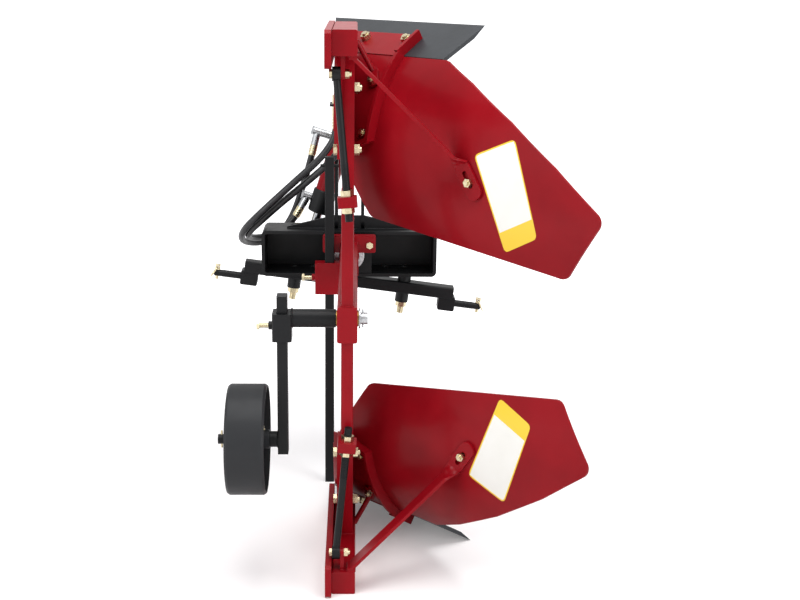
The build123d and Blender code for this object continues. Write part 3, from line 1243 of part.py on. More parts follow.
with BuildPart() as wheel_keeper:
    with BuildSketch(side_view(HUB_LEFT - FACE_GAP)):
        with Locations((PIVOT_Y, AXLE_Z)):
            Circle(AXLE_RADIUS * 1.7)
            Circle(AXLE_RADIUS + SEAT_GAP, mode=Mode.SUBTRACT)
    extrude(amount=-WASHER_THICK)
    with BuildSketch(Plane.XY.offset(AXIS_HEIGHT + AXLE_Z)):
        with Locations((AXLE_END + AXLE_KEEPER, PIVOT_Y)):
            Circle(KEEPER_RADIUS)
    extrude(amount=AXLE_RADIUS + AXLE_KEEPER_PROUD, both=True)
save(wheel_keeper, "wheel_keeper")

AXLE_LINE = Axis((0, PIVOT_Y, AXIS_HEIGHT + AXLE_Z), (1, 0, 0))
with BuildPart() as wheel:
    with BuildSketch(rear_view(PIVOT_Y)):
        with BuildLine():
            Polyline(
                (HUB_LEFT, AXLE_Z + AXLE_RADIUS + RUNNING),
                (HUB_LEFT, AXLE_Z + HUB_RADIUS),
                (WHEEL_X + WEB_AT_HUB, AXLE_Z + HUB_RADIUS),
                (WHEEL_X + WEB_AT_RIM, AXLE_Z + WHEEL_RADIUS * WEB_KNEE),
                (WHEEL_X + WEB_AT_RIM, AXLE_Z + WHEEL_RADIUS - WHEEL_RIM),
                (WHEEL_LEFT, AXLE_Z + WHEEL_RADIUS - WHEEL_RIM),
                (WHEEL_LEFT, AXLE_Z + WHEEL_RADIUS - RIM_BEVEL[1]),
                (WHEEL_LEFT + RIM_BEVEL[0], AXLE_Z + WHEEL_RADIUS),
                (WHEEL_RIGHT - RIM_BEVEL[0], AXLE_Z + WHEEL_RADIUS),
                (WHEEL_RIGHT, AXLE_Z + WHEEL_RADIUS - RIM_BEVEL[1]),
                (WHEEL_RIGHT, AXLE_Z + WHEEL_RADIUS - WHEEL_RIM),
                (WHEEL_X + WEB_AT_RIM + WHEEL_WEB, AXLE_Z + WHEEL_RADIUS - WHEEL_RIM),
                (WHEEL_X + WEB_AT_RIM + WHEEL_WEB, AXLE_Z + WHEEL_RADIUS * WEB_KNEE),
                (WHEEL_X + WEB_AT_HUB + WHEEL_WEB, AXLE_Z + HUB_RADIUS),
                (HUB_RIGHT, AXLE_Z + HUB_RADIUS),
                (HUB_RIGHT, AXLE_Z + AXLE_RADIUS + RUNNING),
                close=True,
            )
        make_face()
    revolve(axis=AXLE_LINE)
save(wheel, "wheel")

# Parking stand: socket on the main beam with its set screw, and the bar with its stop pin
stand_axis = Plane((STAND_X, STAND_Y, AXIS_HEIGHT + (SOCKET_TOP + SOCKET_BOTTOM) / 2), z_dir=(-1, 0, 0))
SOCKET_REACH = STAND_X - SOCKET_LEFT
with BuildPart() as stand_socket:
    with BuildSketch(Plane.XY.offset(AXIS_HEIGHT + SOCKET_BOTTOM)):
        with Locations(((SOCKET_LEFT - BEAM_WIDTH / 2) / 2, STAND_Y)):
            RectangleRounded(-BEAM_WIDTH / 2 - SOCKET_LEFT, STAND_WIDTH + 2 * SOCKET_WALL, SOCKET_CORNER)
        with Locations((STAND_X, STAND_Y)):
            Rectangle(STAND_WIDTH + 2 * SLIDE_GAP, STAND_WIDTH + 2 * SLIDE_GAP, mode=Mode.SUBTRACT)
    extrude(amount=SOCKET_TOP - SOCKET_BOTTOM)
    with BuildSketch(stand_axis.offset(SOCKET_REACH)):
        RegularPolygon(M12[1] / 2, 6, major_radius=False)
    extrude(amount=M12[3])
    with BuildSketch(stand_axis):
        Circle(M12[0] / 2 + NUT_GAP)
    extrude(amount=SOCKET_REACH + M12[3], mode=Mode.SUBTRACT)
save(stand_socket, "stand_socket")

socket_screw_solid = set_screw(stand_axis, STAND_WIDTH / 2 + SLIDE_GAP, SOCKET_REACH + SCREW_REACH)
with BuildPart() as socket_screw:
    add(socket_screw_solid)
save(socket_screw, "socket_screw")

with BuildPart() as stand_bar:
    with BuildSketch(Plane.XY):
        with Locations((STAND_X, STAND_Y)):
            RectangleRounded(STAND_WIDTH, STAND_WIDTH, STAND_CORNER)
    extrude(amount=AXIS_HEIGHT + STAND_TOP)
    with BuildSketch(side_view(STAND_X)):
        with Locations((STAND_Y, STAND_TOP - STAND_WIDTH)):
            Circle(STOP_PIN_RADIUS + SEAT_GAP)
    extrude(amount=STAND_WIDTH, both=True, mode=Mode.SUBTRACT)
    with BuildSketch(side_view(STAND_X)):
        with Locations((STAND_Y, STAND_TOP - STAND_WIDTH)):
            Circle(STOP_PIN_RADIUS)
    extrude(amount=STAND_WIDTH, both=True)
save(stand_bar, "stand_bar")

# Turnover cylinder: local z runs from the pivot on the mast to the crank's eye
CYL_PIVOT = Vector(0, CYL_Y, AXIS_HEIGHT + CYL_PIVOT_Z)
CYL_END = Vector(-CRANK_RADIUS, CYL_Y, AXIS_HEIGHT)
CYL_PLANE = Plane(CYL_PIVOT, x_dir=(0, 1, 0), z_dir=CYL_END - CYL_PIVOT)
CYL_LENGTH = (CYL_END - CYL_PIVOT).length
BORE_RADIUS = BARREL_RADIUS - BARREL_WALL
PISTON_START = BARREL_START + PISTON_SETBACK
OUTWARD = CYL_PLANE.z_dir.cross(Vector(0, 1, 0))
OUTWARD = OUTWARD if OUTWARD.X < 0 else -OUTWARD


def eye_plane(centre):
    """Plane across a cylinder eye at its rear face."""
    return Plane(centre - Vector(0, CYL_EYE_WIDTH / 2, 0), x_dir=(1, 0, 0), z_dir=(0, 1, 0))


def port_plane(along):
    """Plane on the cylinder's axis that faces out of a port."""
    return Plane(CYL_PLANE.offset(along).origin, x_dir=CYL_PLANE.z_dir, z_dir=OUTWARD)


with BuildPart() as cylinder_cap:
    with BuildSketch(CYL_PLANE.offset(CAP_START)):
        Circle(BARREL_RADIUS + CAP_STEP)
    extrude(amount=BARREL_START - CAP_START)
    with BuildSketch(eye_plane(CYL_PIVOT)):
        Circle(CYL_EYE_RADIUS)
    extrude(amount=CYL_EYE_WIDTH)
    with BuildSketch(CYL_PLANE):
        Rectangle(CYL_EYE_WIDTH, 2 * CYL_EYE_RADIUS)
    extrude(amount=CAP_START + CAP_NECK_SINK)
    with BuildSketch(eye_plane(CYL_PIVOT)):
        Circle(CYL_PIN_RADIUS + RUNNING)
    extrude(amount=CYL_EYE_WIDTH, mode=Mode.SUBTRACT)
    chamfer(cylinder_cap.edges().filter_by(GeomType.CIRCLE).group_by(SortBy.RADIUS)[-1], CAP_CHAMFER)
save(cylinder_cap, "cylinder_cap")

with BuildPart() as cylinder_barrel:
    with BuildSketch(CYL_PLANE.offset(BARREL_START)):
        Circle(BARREL_RADIUS)
        Circle(BORE_RADIUS, mode=Mode.SUBTRACT)
    extrude(amount=BARREL_END - BARREL_START)
save(cylinder_barrel, "cylinder_barrel")

with BuildPart() as cylinder_gland:
    with BuildSketch(CYL_PLANE.offset(BARREL_END)):
        Circle(GLAND_RADIUS)
        Circle(ROD_SHANK_RADIUS + RUNNING, mode=Mode.SUBTRACT)
    extrude(amount=GLAND_END - BARREL_END)
    chamfer(cylinder_gland.edges().filter_by(GeomType.CIRCLE).group_by(SortBy.RADIUS)[-1], GLAND_CHAMFER)
save(cylinder_gland, "cylinder_gland")

with BuildPart() as cylinder_rod:
    with BuildSketch(CYL_PLANE.offset(PISTON_START)):
        Circle(BORE_RADIUS - RUNNING)
    extrude(amount=PISTON_THICK)
    with BuildSketch(CYL_PLANE.offset(PISTON_START)):
        Circle(ROD_SHANK_RADIUS)
    extrude(amount=CYL_LENGTH - CYL_EYE_RADIUS * ROD_EYE_SINK - PISTON_START)
    with BuildSketch(eye_plane(CYL_END)):
        Circle(CYL_EYE_RADIUS)
    extrude(amount=CYL_EYE_WIDTH)
    with BuildSketch(eye_plane(CYL_END)):
        Circle(CYL_PIN_RADIUS + SEAT_GAP)
    extrude(amount=CYL_EYE_WIDTH, mode=Mode.SUBTRACT)
save(cylinder_rod, "cylinder_rod")

with BuildPart() as rod_end_pin:
    with BuildSketch(rear_view(CRANK_FRONT + CYL_CLEAR / 2)):
        with Locations((-CRANK_RADIUS, 0)):
            Circle(CYL_PIN_RADIUS)
    extrude(amount=CRANK_FRONT + CYL_CLEAR / 2 - CYL_Y - CYL_EYE_WIDTH / 2)
    with BuildSketch(rear_view(CYL_Y + CYL_EYE_WIDTH / 2)):
        with Locations((-CRANK_RADIUS, 0)):
            Circle(CYL_PIN_RADIUS * 1.5)
    extrude(amount=-PIN_HEAD)
save(rod_end_pin, "rod_end_pin")

# Hose routes, from the end of each union's ferrule to its coupler
HOSE_ROUTES = {
    "hose_a": (
        (-127, 1044, 240),
        (-152, 1062, 156),
        (-182, 1076, 66),
        (-226, 1078, 0),
        (-284, 1054, -22),
        (-328, 1002, -10),
        (-340, 934, 18),
        (-324, 872, 58),
        (-276, 838, 110),
        (-214, 836, 168),
        (-152, 842, 224),
        (-100, 848, 270),
        (-66, 850, 310),
        (-40, 850, 356),
    ),
    "hose_b": (
        (-180, 1038, 54),
        (-228, 1036, 18),
        (-280, 1012, 4),
        (-316, 962, 14),
        (-314, 902, 42),
        (-271, 865, 86),
        (-210, 856, 142),
        (-146, 858, 194),
        (-86, 852, 246),
        (-42, 850, 290),
        (-2, 850, 350),
    ),
}
PORTS = {
    "hose_a": (PORT_UPPER, BARREL_RADIUS + CAP_STEP, UPPER_REACH),
    "hose_b": (PORT_LOWER, GLAND_RADIUS, LOWER_REACH),
}


def route_radii(points):
    """Largest radius that each corner's two runs allow."""
    runs = [b - a for a, b in zip(points, points[1:])]
    return [
        0.45 * min(a.length, b.length) / tan(radians(a.get_angle(b)) / 2) for a, b in zip(runs, runs[1:])
    ]


hose_points = {}
for (hose_name, route), seat in zip(HOSE_ROUTES.items(), coupler_seats):
    along, _, reach = PORTS[hose_name]
    banjo = port_plane(along).offset(reach).origin
    corners = [Vector(*point) + Vector(0, 0, AXIS_HEIGHT) for point in route]
    start = banjo + (corners[0] - banjo).normalized() * (FERRULE_LENGTH + FACE_GAP)
    hose_points[hose_name] = [start, *corners, seat.offset(-COUPLER_BODY - FACE_GAP).origin]

with BuildPart() as hose_unions:
    for hose_name, (along, radius, reach) in PORTS.items():
        banjo = port_plane(along).offset(reach).origin
        ferrule = Plane(banjo, z_dir=hose_points[hose_name][0] - banjo)
        with BuildSketch(port_plane(along).offset(radius)):
            Circle(UNION_RADIUS)
        extrude(amount=reach - radius + UNION_RADIUS)
        with BuildSketch(port_plane(along).offset(reach + UNION_RADIUS)):
            RegularPolygon(UNION_RADIUS, 6, major_radius=False)
        extrude(amount=UNION_HEX)
        with BuildSketch(ferrule):
            Circle(HOSE_RADIUS + FERRULE_WALL)
        extrude(amount=FERRULE_LENGTH)
save(hose_unions, "hose_unions")

with BuildPart() as hose_couplers:
    for seat in coupler_seats:
        for near, far, radius in (
            (-COUPLER_BODY, 0, COUPLER_RADIUS),
            (0, SHELF_THICK, COUPLER_NECK),
            (SHELF_THICK, SHELF_THICK + COUPLER_NOSE, COUPLER_RADIUS),
        ):
            with BuildSketch(seat.offset(near)):
                Circle(radius)
            extrude(amount=far - near)
save(hose_couplers, "hose_couplers")

for hose_name, points in hose_points.items():
    with BuildPart() as hose:
        with BuildLine() as path:
            FilletPolyline(*points, radius=route_radii(points))
        with BuildSketch(Plane(points[0], z_dir=points[1] - points[0])):
            Circle(HOSE_RADIUS)
        sweep()
    print(hose_name, "length", round(path.wire().length))
    save(hose, hose_name)
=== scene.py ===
"""Looks of a mounted reversible plough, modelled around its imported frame, in metres.

+Y points forward, +Z up. Painted steel keeps the frame's own meshes and gets its finishes here. Hoses,
crimped collars, weld beads, screw threads, grease nipples and two blank panels are added as new pieces.
"""

import json
import logging
import math
from dataclasses import dataclass, field
from enum import Enum

import bmesh
import bpy
from mathutils import Matrix, Vector
from mathutils.bvhtree import BVHTree


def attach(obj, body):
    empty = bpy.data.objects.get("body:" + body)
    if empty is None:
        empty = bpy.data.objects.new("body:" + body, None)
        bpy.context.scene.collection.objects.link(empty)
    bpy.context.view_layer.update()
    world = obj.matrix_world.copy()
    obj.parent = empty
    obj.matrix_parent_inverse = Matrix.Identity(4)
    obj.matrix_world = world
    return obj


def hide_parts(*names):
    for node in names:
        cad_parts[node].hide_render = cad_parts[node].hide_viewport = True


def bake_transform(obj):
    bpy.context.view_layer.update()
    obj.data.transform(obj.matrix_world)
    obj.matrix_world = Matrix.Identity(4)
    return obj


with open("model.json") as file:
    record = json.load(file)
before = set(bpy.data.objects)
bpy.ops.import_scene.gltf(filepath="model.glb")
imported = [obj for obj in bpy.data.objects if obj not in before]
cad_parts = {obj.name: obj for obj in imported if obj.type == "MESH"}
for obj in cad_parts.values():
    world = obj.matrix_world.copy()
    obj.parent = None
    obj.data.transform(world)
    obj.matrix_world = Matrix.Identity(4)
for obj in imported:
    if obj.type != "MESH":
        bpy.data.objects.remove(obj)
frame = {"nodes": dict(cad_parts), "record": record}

log = logging.getLogger("plough")

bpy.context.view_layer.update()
IMAGE_WIDTH = 800
IMAGE_HEIGHT = 600
AXIS_HEIGHT = 0.704  # ground to the turnover axis
MM = 0.001
HALF = 0.5  # middle of a panel of unit size
TINY = 1e-6  # length below which two points are one
BEVEL_SAMPLES = 4
ROUND_SEAM_CORNERS = 24
MIX_FACTOR, MIX_FIRST, MIX_SECOND = 0, 6, 7  # inputs of a colour mix node
MIX_COLOUR = 2  # its colour output


class Body(str, Enum):
    """Bodies of the frame that carry new pieces."""

    HEADSTOCK = "headstock"
    TURNOVER = "turnover_frame"
    CYLINDER = "cylinder"
    CARRIER = "wheel_carrier"
    ARM = "wheel_arm"
    WHEEL = "wheel"


class Slot(str, Enum):
    """Finishes that the record knows."""

    RED = "red_paint"
    BLACK = "black_paint"
    SHARE = "share_steel"
    ZINC = "zinc"
    BRIGHT = "bright_steel"
    CHROME = "rod_chrome"
    BRONZE = "bronze"
    WHEEL = "wheel_grey"
    RUBBER = "hose_rubber"


def linear(hex_colour: str) -> tuple[float, float, float, float]:
    """Turn an sRGB hex colour into the linear colour that a shader takes.

    Args:
        hex_colour: Six hex digits after a hash.

    Returns:
        Linear red, green, blue and an alpha of 1.
    """
    channels = [int(hex_colour[i:i + 2], 16) / 255 for i in (1, 3, 5)]
    red, green, blue = [c / 12.92 if c <= 0.04045 else ((c + 0.055) / 1.055) ** 2.4 for c in channels]
    return (red, green, blue, 1.0)


def per_metre(millimetres: float) -> float:
    """Texture scale at which one feature has a real size.

    Args:
        millimetres: Size of the feature.

    Returns:
        Number of features in a metre.
    """
    return 1000.0 / millimetres


def add_node(
    tree: bpy.types.NodeTree, kind: str, values: dict | None = None, links: dict | None = None, **settings
) -> bpy.types.Node:
    """Add one shader node with its settings, values and links.

    Args:
        tree: Node tree that gets the node.
        kind: Node type.
        values: Socket values by socket name or number.
        links: Output sockets to link, by input name or number.
        **settings: Attributes of the node itself.

    Returns:
        The new node.
    """
    node = tree.nodes.new(kind)
    for name, setting in settings.items():
        setattr(node, name, setting)
    for key, value in (values or {}).items():
        node.inputs[key].default_value = value
    for key, socket in (links or {}).items():
        tree.links.new(socket, node.inputs[key])
    return node


def add_ramp(
    tree: bpy.types.NodeTree, value: bpy.types.NodeSocket, stops: tuple[tuple[float, str], ...]
) -> bpy.types.NodeSocket:
    """Colour a grey value through a ramp.

    Args:
        tree: Node tree that gets the ramp.
        value: Grey value that runs along the ramp.
        stops: Position and hex colour of each stop, from low to high.

    Returns:
        The ramp's colour.
    """
    ramp = add_node(tree, "ShaderNodeValToRGB", links={"Fac": value})
    elements = ramp.color_ramp.elements
    while len(elements) < len(stops):
        elements.new(1.0)
    for element, (position, colour) in zip(elements, stops):
        element.position = position
        element.color = linear(colour)
    return ramp.outputs["Color"]


def add_noise(
    tree: bpy.types.NodeTree,
    place: bpy.types.NodeSocket,
    feature_mm: float,
    detail: float = 2.0,
    breakup: float = 0.5,
) -> bpy.types.NodeSocket:
    """Add a cloudy texture whose features have a real size.

    Args:
        tree: Node tree that gets the texture.
        place: Coordinates that it is laid out on.
        feature_mm: Size of one feature in millimetres.
        detail: Number of finer layers.
        breakup: Strength of each finer layer.

    Returns:
        The texture's grey value.
    """
    noise = add_node(
        tree,
        "ShaderNodeTexNoise",
        {"Scale": per_metre(feature_mm), "Detail": detail, "Roughness": breakup},
        {"Vector": place},
    )
    return noise.outputs["Fac"]


def add_range(
    tree: bpy.types.NodeTree,
    value: bpy.types.NodeSocket,
    source: tuple[float, float],
    target: tuple[float, float],
    **settings: str,
) -> bpy.types.NodeSocket:
    """Map one range of values onto another.

    Args:
        tree: Node tree that gets the node.
        value: Value to map.
        source: Range of the value.
        target: Range of the result.
        **settings: Attributes of the node itself.

    Returns:
        The mapped value.
    """
    ends = dict(zip(("From Min", "From Max", "To Min", "To Max"), (*source, *target)))
    return add_node(tree, "ShaderNodeMapRange", ends, {"Value": value}, **settings).outputs["Result"]


def add_math(
    tree: bpy.types.NodeTree, operation: str, *terms: bpy.types.NodeSocket | float
) -> bpy.types.NodeSocket:
    """Work out one value from sockets and plain numbers.

    Args:
        tree: Node tree that gets the node.
        operation: What is done with the terms.
        *terms: Sockets or numbers, in order.

    Returns:
        The result.
    """
    links = {i: term for i, term in enumerate(terms) if isinstance(term, bpy.types.NodeSocket)}
    values = {i: term for i, term in enumerate(terms) if i not in links}
    return add_node(tree, "ShaderNodeMath", values, links, operation=operation).outputs["Value"]


def mix_colours(
    tree: bpy.types.NodeTree, factor: bpy.types.NodeSocket, first: bpy.types.NodeSocket, second: str
) -> bpy.types.NodeSocket:
    """Blend a colour towards a plain one.

    Args:
        tree: Node tree that gets the node.
        factor: How far the blend goes, 0 to 1.
        first: Colour at 0.
        second: Hex colour at 1.

    Returns:
        The blended colour.
    """
    links = {MIX_FACTOR: factor, MIX_FIRST: first}
    mix = add_node(tree, "ShaderNodeMix", {MIX_SECOND: linear(second)}, links, data_type="RGBA")
    return mix.outputs[MIX_COLOUR]


def round_edges(tree: bpy.types.NodeTree, edge_mm: float) -> bpy.types.NodeSocket:
    """Soften sharp edges in the shading.

    Args:
        tree: Node tree that gets the node.
        edge_mm: Radius of the edges in millimetres.

    Returns:
        The surface's direction with round edges.
    """
    bevel = add_node(tree, "ShaderNodeBevel", {"Radius": edge_mm * MM}, samples=BEVEL_SAMPLES)
    return bevel.outputs["Normal"]


def new_material(name: str) -> tuple[bpy.types.Material, bpy.types.NodeTree, bpy.types.Node]:
    """Start a node material.

    Args:
        name: Name of the finish.

    Returns:
        The material, its empty tree and its output node.
    """
    material = bpy.data.materials.new(name)
    material.use_nodes = True
    tree = material.node_tree
    tree.nodes.clear()
    return material, tree, add_node(tree, "ShaderNodeOutputMaterial")


def add_surface(tree: bpy.types.NodeTree, output: bpy.types.Node, values: dict, links: dict) -> None:
    """Close a material with its surface shader.

    Args:
        tree: Node tree of the material.
        output: Its output node.
        values: Plain values of the shader, by input name.
        links: Sockets that drive the shader, by input name.
    """
    shader = add_node(tree, "ShaderNodeBsdfPrincipled", values, links)
    tree.links.new(shader.outputs["BSDF"], output.inputs["Surface"])


@dataclass(frozen=True)
class SprayedEnamel:
    """Enamel sprayed on welded steel: an even colour under a clear skin with a fine orange peel.

    The eye sees soft reflections, slightly thinner paint along edges and broad, faint shifts of tone.
    """

    name: str
    colour: str
    shade: str
    edge: str
    roughness: float
    coat: float
    level: float
    coat_roughness: float = 0.12
    ior: float = 1.5
    tone_mm: float = 140.0
    tone_detail: float = 3.0
    tone_from: tuple[float, float] = (0.3, 0.62)
    edge_mm: float = 1.6
    wear_from: tuple[float, float] = (0.97, 0.75)
    wear: tuple[float, float] = (0.0, 0.45)
    scuff_mm: float = 30.0
    scuff_detail: float = 8.0
    scuff_breakup: float = 0.65
    scuff_from: tuple[float, float] = (0.35, 0.75)
    scuff_range: float = 0.1
    peel_mm: float = 4.0
    peel_detail: float = 1.0
    peel_strength: float = 0.05
    peel_depth_mm: float = 1.0

    def material(self) -> bpy.types.Material:
        """Build the node material of this enamel.

        Returns:
            The new material.
        """
        material, tree, output = new_material(self.name)
        place = add_node(tree, "ShaderNodeTexCoord").outputs["Object"]
        tone = add_noise(tree, place, self.tone_mm, self.tone_detail)
        colour = add_ramp(tree, tone, tuple(zip(self.tone_from, (self.shade, self.colour))))
        rounded = round_edges(tree, self.edge_mm)
        face = add_node(tree, "ShaderNodeNewGeometry").outputs["Normal"]
        flatness = add_node(
            tree, "ShaderNodeVectorMath", links={0: rounded, 1: face}, operation="DOT_PRODUCT"
        )
        on_edge = add_range(tree, flatness.outputs["Value"], self.wear_from, self.wear)
        worn = mix_colours(tree, on_edge, colour, self.edge)
        scuff = add_noise(tree, place, self.scuff_mm, self.scuff_detail, self.scuff_breakup)
        dull = self.roughness + self.scuff_range
        roughness = add_range(tree, scuff, self.scuff_from, (self.roughness, dull))
        peel = add_noise(tree, place, self.peel_mm, self.peel_detail)
        bump = add_node(
            tree,
            "ShaderNodeBump",
            {"Strength": self.peel_strength, "Distance": self.peel_depth_mm * MM},
            {"Height": peel, "Normal": rounded},
        )
        add_surface(
            tree,
            output,
            {
                "IOR": self.ior,
                "Coat Weight": self.coat,
                "Coat Roughness": self.coat_roughness,
                "Specular IOR Level": self.level,
            },
            {"Base Color": worn, "Roughness": roughness, "Normal": bump.outputs["Normal"]},
        )
        return material


@dataclass(frozen=True)
class PlainMetal:
    """Bare or plated metal: its colour clouds a little, and fine scratches cross the roughness.

    The eye sees a metallic gleam whose sharpness shifts, with rounded bright edges.
    """

    name: str
    stops: tuple[tuple[float, str], ...]
    roughness: tuple[float, float]
    cloud_mm: float = 9.0
    cloud_detail: float = 3.0
    scratch_mm: float = 1.6
    scratch_detail: float = 4.0
    scratch_stretch: float = 14.0
    scratch_from: tuple[float, float] = (0.3, 0.7)
    bump: float = 0.06
    bump_depth_mm: float = 0.4
    edge_mm: float = 0.8
    metallic: float = 1.0

    def material(self) -> bpy.types.Material:
        """Build the node material of this metal.

        Returns:
            The new material.
        """
        material, tree, output = new_material(self.name)
        place = add_node(tree, "ShaderNodeTexCoord").outputs["Object"]
        colour = add_ramp(tree, add_noise(tree, place, self.cloud_mm, self.cloud_detail), self.stops)
        stretched = add_node(
            tree, "ShaderNodeMapping", {"Scale": (1.0, 1.0, 1.0 / self.scratch_stretch)}, {"Vector": place}
        )
        scratch = add_noise(tree, stretched.outputs["Vector"], self.scratch_mm, self.scratch_detail)
        roughness = add_range(tree, scratch, self.scratch_from, self.roughness)
        bump = add_node(
            tree,
            "ShaderNodeBump",
            {"Strength": self.bump, "Distance": self.bump_depth_mm * MM},
            {"Height": scratch, "Normal": round_edges(tree, self.edge_mm)},
        )
        add_surface(
            tree,
            output,
            {"Metallic": self.metallic},
            {"Base Color": colour, "Roughness": roughness, "Normal": bump.outputs["Normal"]},
        )
        return material


@dataclass(frozen=True)
class HoseRubber:
    """Extruded rubber hose cover: matt black with a faint wrapped-cloth grain and dusty highlights."""

    name: str = "hose_rubber_cover"
    colour: str = "#131315"
    dusty: str = "#222326"
    dust_mm: float = 22.0
    dust_detail: float = 5.0
    dust_from: tuple[float, float] = (0.4, 0.75)
    grain_mm: float = 1.4
    grain_depth_mm: float = 0.3
    grain_strength: float = 0.12
    roughness: float = 0.42
    ior: float = 1.52
    level: float = 0.4

    def material(self) -> bpy.types.Material:
        """Build the node material of the hose cover.

        Returns:
            The new material.
        """
        material, tree, output = new_material(self.name)
        place = add_node(tree, "ShaderNodeTexCoord").outputs["Object"]
        dust = add_noise(tree, place, self.dust_mm, self.dust_detail)
        colour = add_ramp(tree, dust, tuple(zip(self.dust_from, (self.colour, self.dusty))))
        bump = add_node(
            tree,
            "ShaderNodeBump",
            {"Strength": self.grain_strength, "Distance": self.grain_depth_mm * MM},
            {"Height": add_noise(tree, place, self.grain_mm)},
        )
        add_surface(
            tree,
            output,
            {"Roughness": self.roughness, "IOR": self.ior, "Specular IOR Level": self.level},
            {"Base Color": colour, "Normal": bump.outputs["Normal"]},
        )
        return material


@dataclass(frozen=True)
class PanelVinyl:
    """Vinyl film: pale and blank, with a plain band at one end and a thin rim of the same yellow."""

    name: str = "panel_vinyl"
    pale: str = "#E6E5DF"
    soft: str = "#E3E2DB"
    yellow: str = "#E8C21C"
    band: float = 0.8
    rim: float = 0.03
    grain_mm: float = 60.0
    grain_detail: float = 3.0
    grain_from: tuple[float, float] = (0.3, 0.6)
    roughness: float = 0.32
    ior: float = 1.46
    coat: float = 0.3
    coat_roughness: float = 0.1

    def material(self) -> bpy.types.Material:
        """Build the node material of the film, laid out on the panel's own UV map.

        Returns:
            The new material.
        """
        material, tree, output = new_material(self.name)
        place = add_node(tree, "ShaderNodeTexCoord").outputs
        flat = add_node(tree, "ShaderNodeSeparateXYZ", links={"Vector": place["UV"]}).outputs
        grain = add_noise(tree, place["Object"], self.grain_mm, self.grain_detail)
        pale = add_ramp(tree, grain, tuple(zip(self.grain_from, (self.soft, self.pale))))
        in_band = add_math(tree, "GREATER_THAN", flat["Y"], self.band)
        across = add_math(tree, "ABSOLUTE", add_math(tree, "SUBTRACT", flat["X"], HALF))
        at_side = add_math(tree, "GREATER_THAN", across, HALF - self.rim)
        at_foot = add_math(tree, "LESS_THAN", flat["Y"], self.rim / 2)
        in_rim = add_math(tree, "MAXIMUM", at_side, at_foot)
        colour = mix_colours(tree, add_math(tree, "MAXIMUM", in_band, in_rim), pale, self.yellow)
        add_surface(
            tree,
            output,
            {
                "Roughness": self.roughness,
                "IOR": self.ior,
                "Coat Weight": self.coat,
                "Coat Roughness": self.coat_roughness,
            },
            {"Base Color": colour},
        )
        return material


def background_rays(tree: bpy.types.NodeTree) -> bpy.types.NodeSocket:
    """Pick out the rays that are shown the white background: the camera's, in metal and through glass.

    Args:
        tree: Node tree of the floor's material or of the world.

    Returns:
        Socket that is 1 for those rays and 0 for the others.
    """
    path = add_node(tree, "ShaderNodeLightPath").outputs
    shown = add_math(tree, "MAXIMUM", path["Is Camera Ray"], path["Is Glossy Ray"])
    return add_math(tree, "MAXIMUM", shown, path["Is Transmission Ray"])


@dataclass(frozen=True)
class StudioFloor:
    """Pale matt studio floor that reads white to the camera and keeps the shadow under the plough."""

    name: str = "studio_floor"
    colour: str = "#F4F2F1"
    shade: str = "#EFECEA"
    cloud_mm: float = 900.0
    cloud_from: tuple[float, float] = (0.3, 0.7)
    lift: tuple[float, float] = (0.16, 1.0)  # glow near the plough and far from it
    lift_from: tuple[float, float] = (1.0, 3.2)  # distances between which it grows

    def material(self) -> bpy.types.Material:
        """Build the node material of the floor.

        Returns:
            The new material.
        """
        material, tree, output = new_material(self.name)
        place = add_node(tree, "ShaderNodeTexCoord").outputs["Object"]
        cloud = add_noise(tree, place, self.cloud_mm)
        colour = add_ramp(tree, cloud, tuple(zip(self.cloud_from, (self.shade, self.colour))))
        matt = add_node(tree, "ShaderNodeBsdfDiffuse", links={"Color": colour}).outputs["BSDF"]
        reach = add_node(tree, "ShaderNodeVectorMath", links={0: place}, operation="LENGTH")
        lift = add_range(
            tree, reach.outputs["Value"], self.lift_from, self.lift, interpolation_type="SMOOTHSTEP"
        )
        strength = add_math(tree, "MULTIPLY", background_rays(tree), lift)
        glow = add_node(tree, "ShaderNodeEmission", links={"Strength": strength}).outputs["Emission"]
        both = add_node(tree, "ShaderNodeAddShader", links={0: matt, 1: glow})
        tree.links.new(both.outputs["Shader"], output.inputs["Surface"])
        return material


@dataclass(frozen=True)
class SoftBox:
    """One square soft box: its name, its middle, its side and its power in watts."""

    name: str
    place: tuple[float, float, float]
    size: float
    power: float


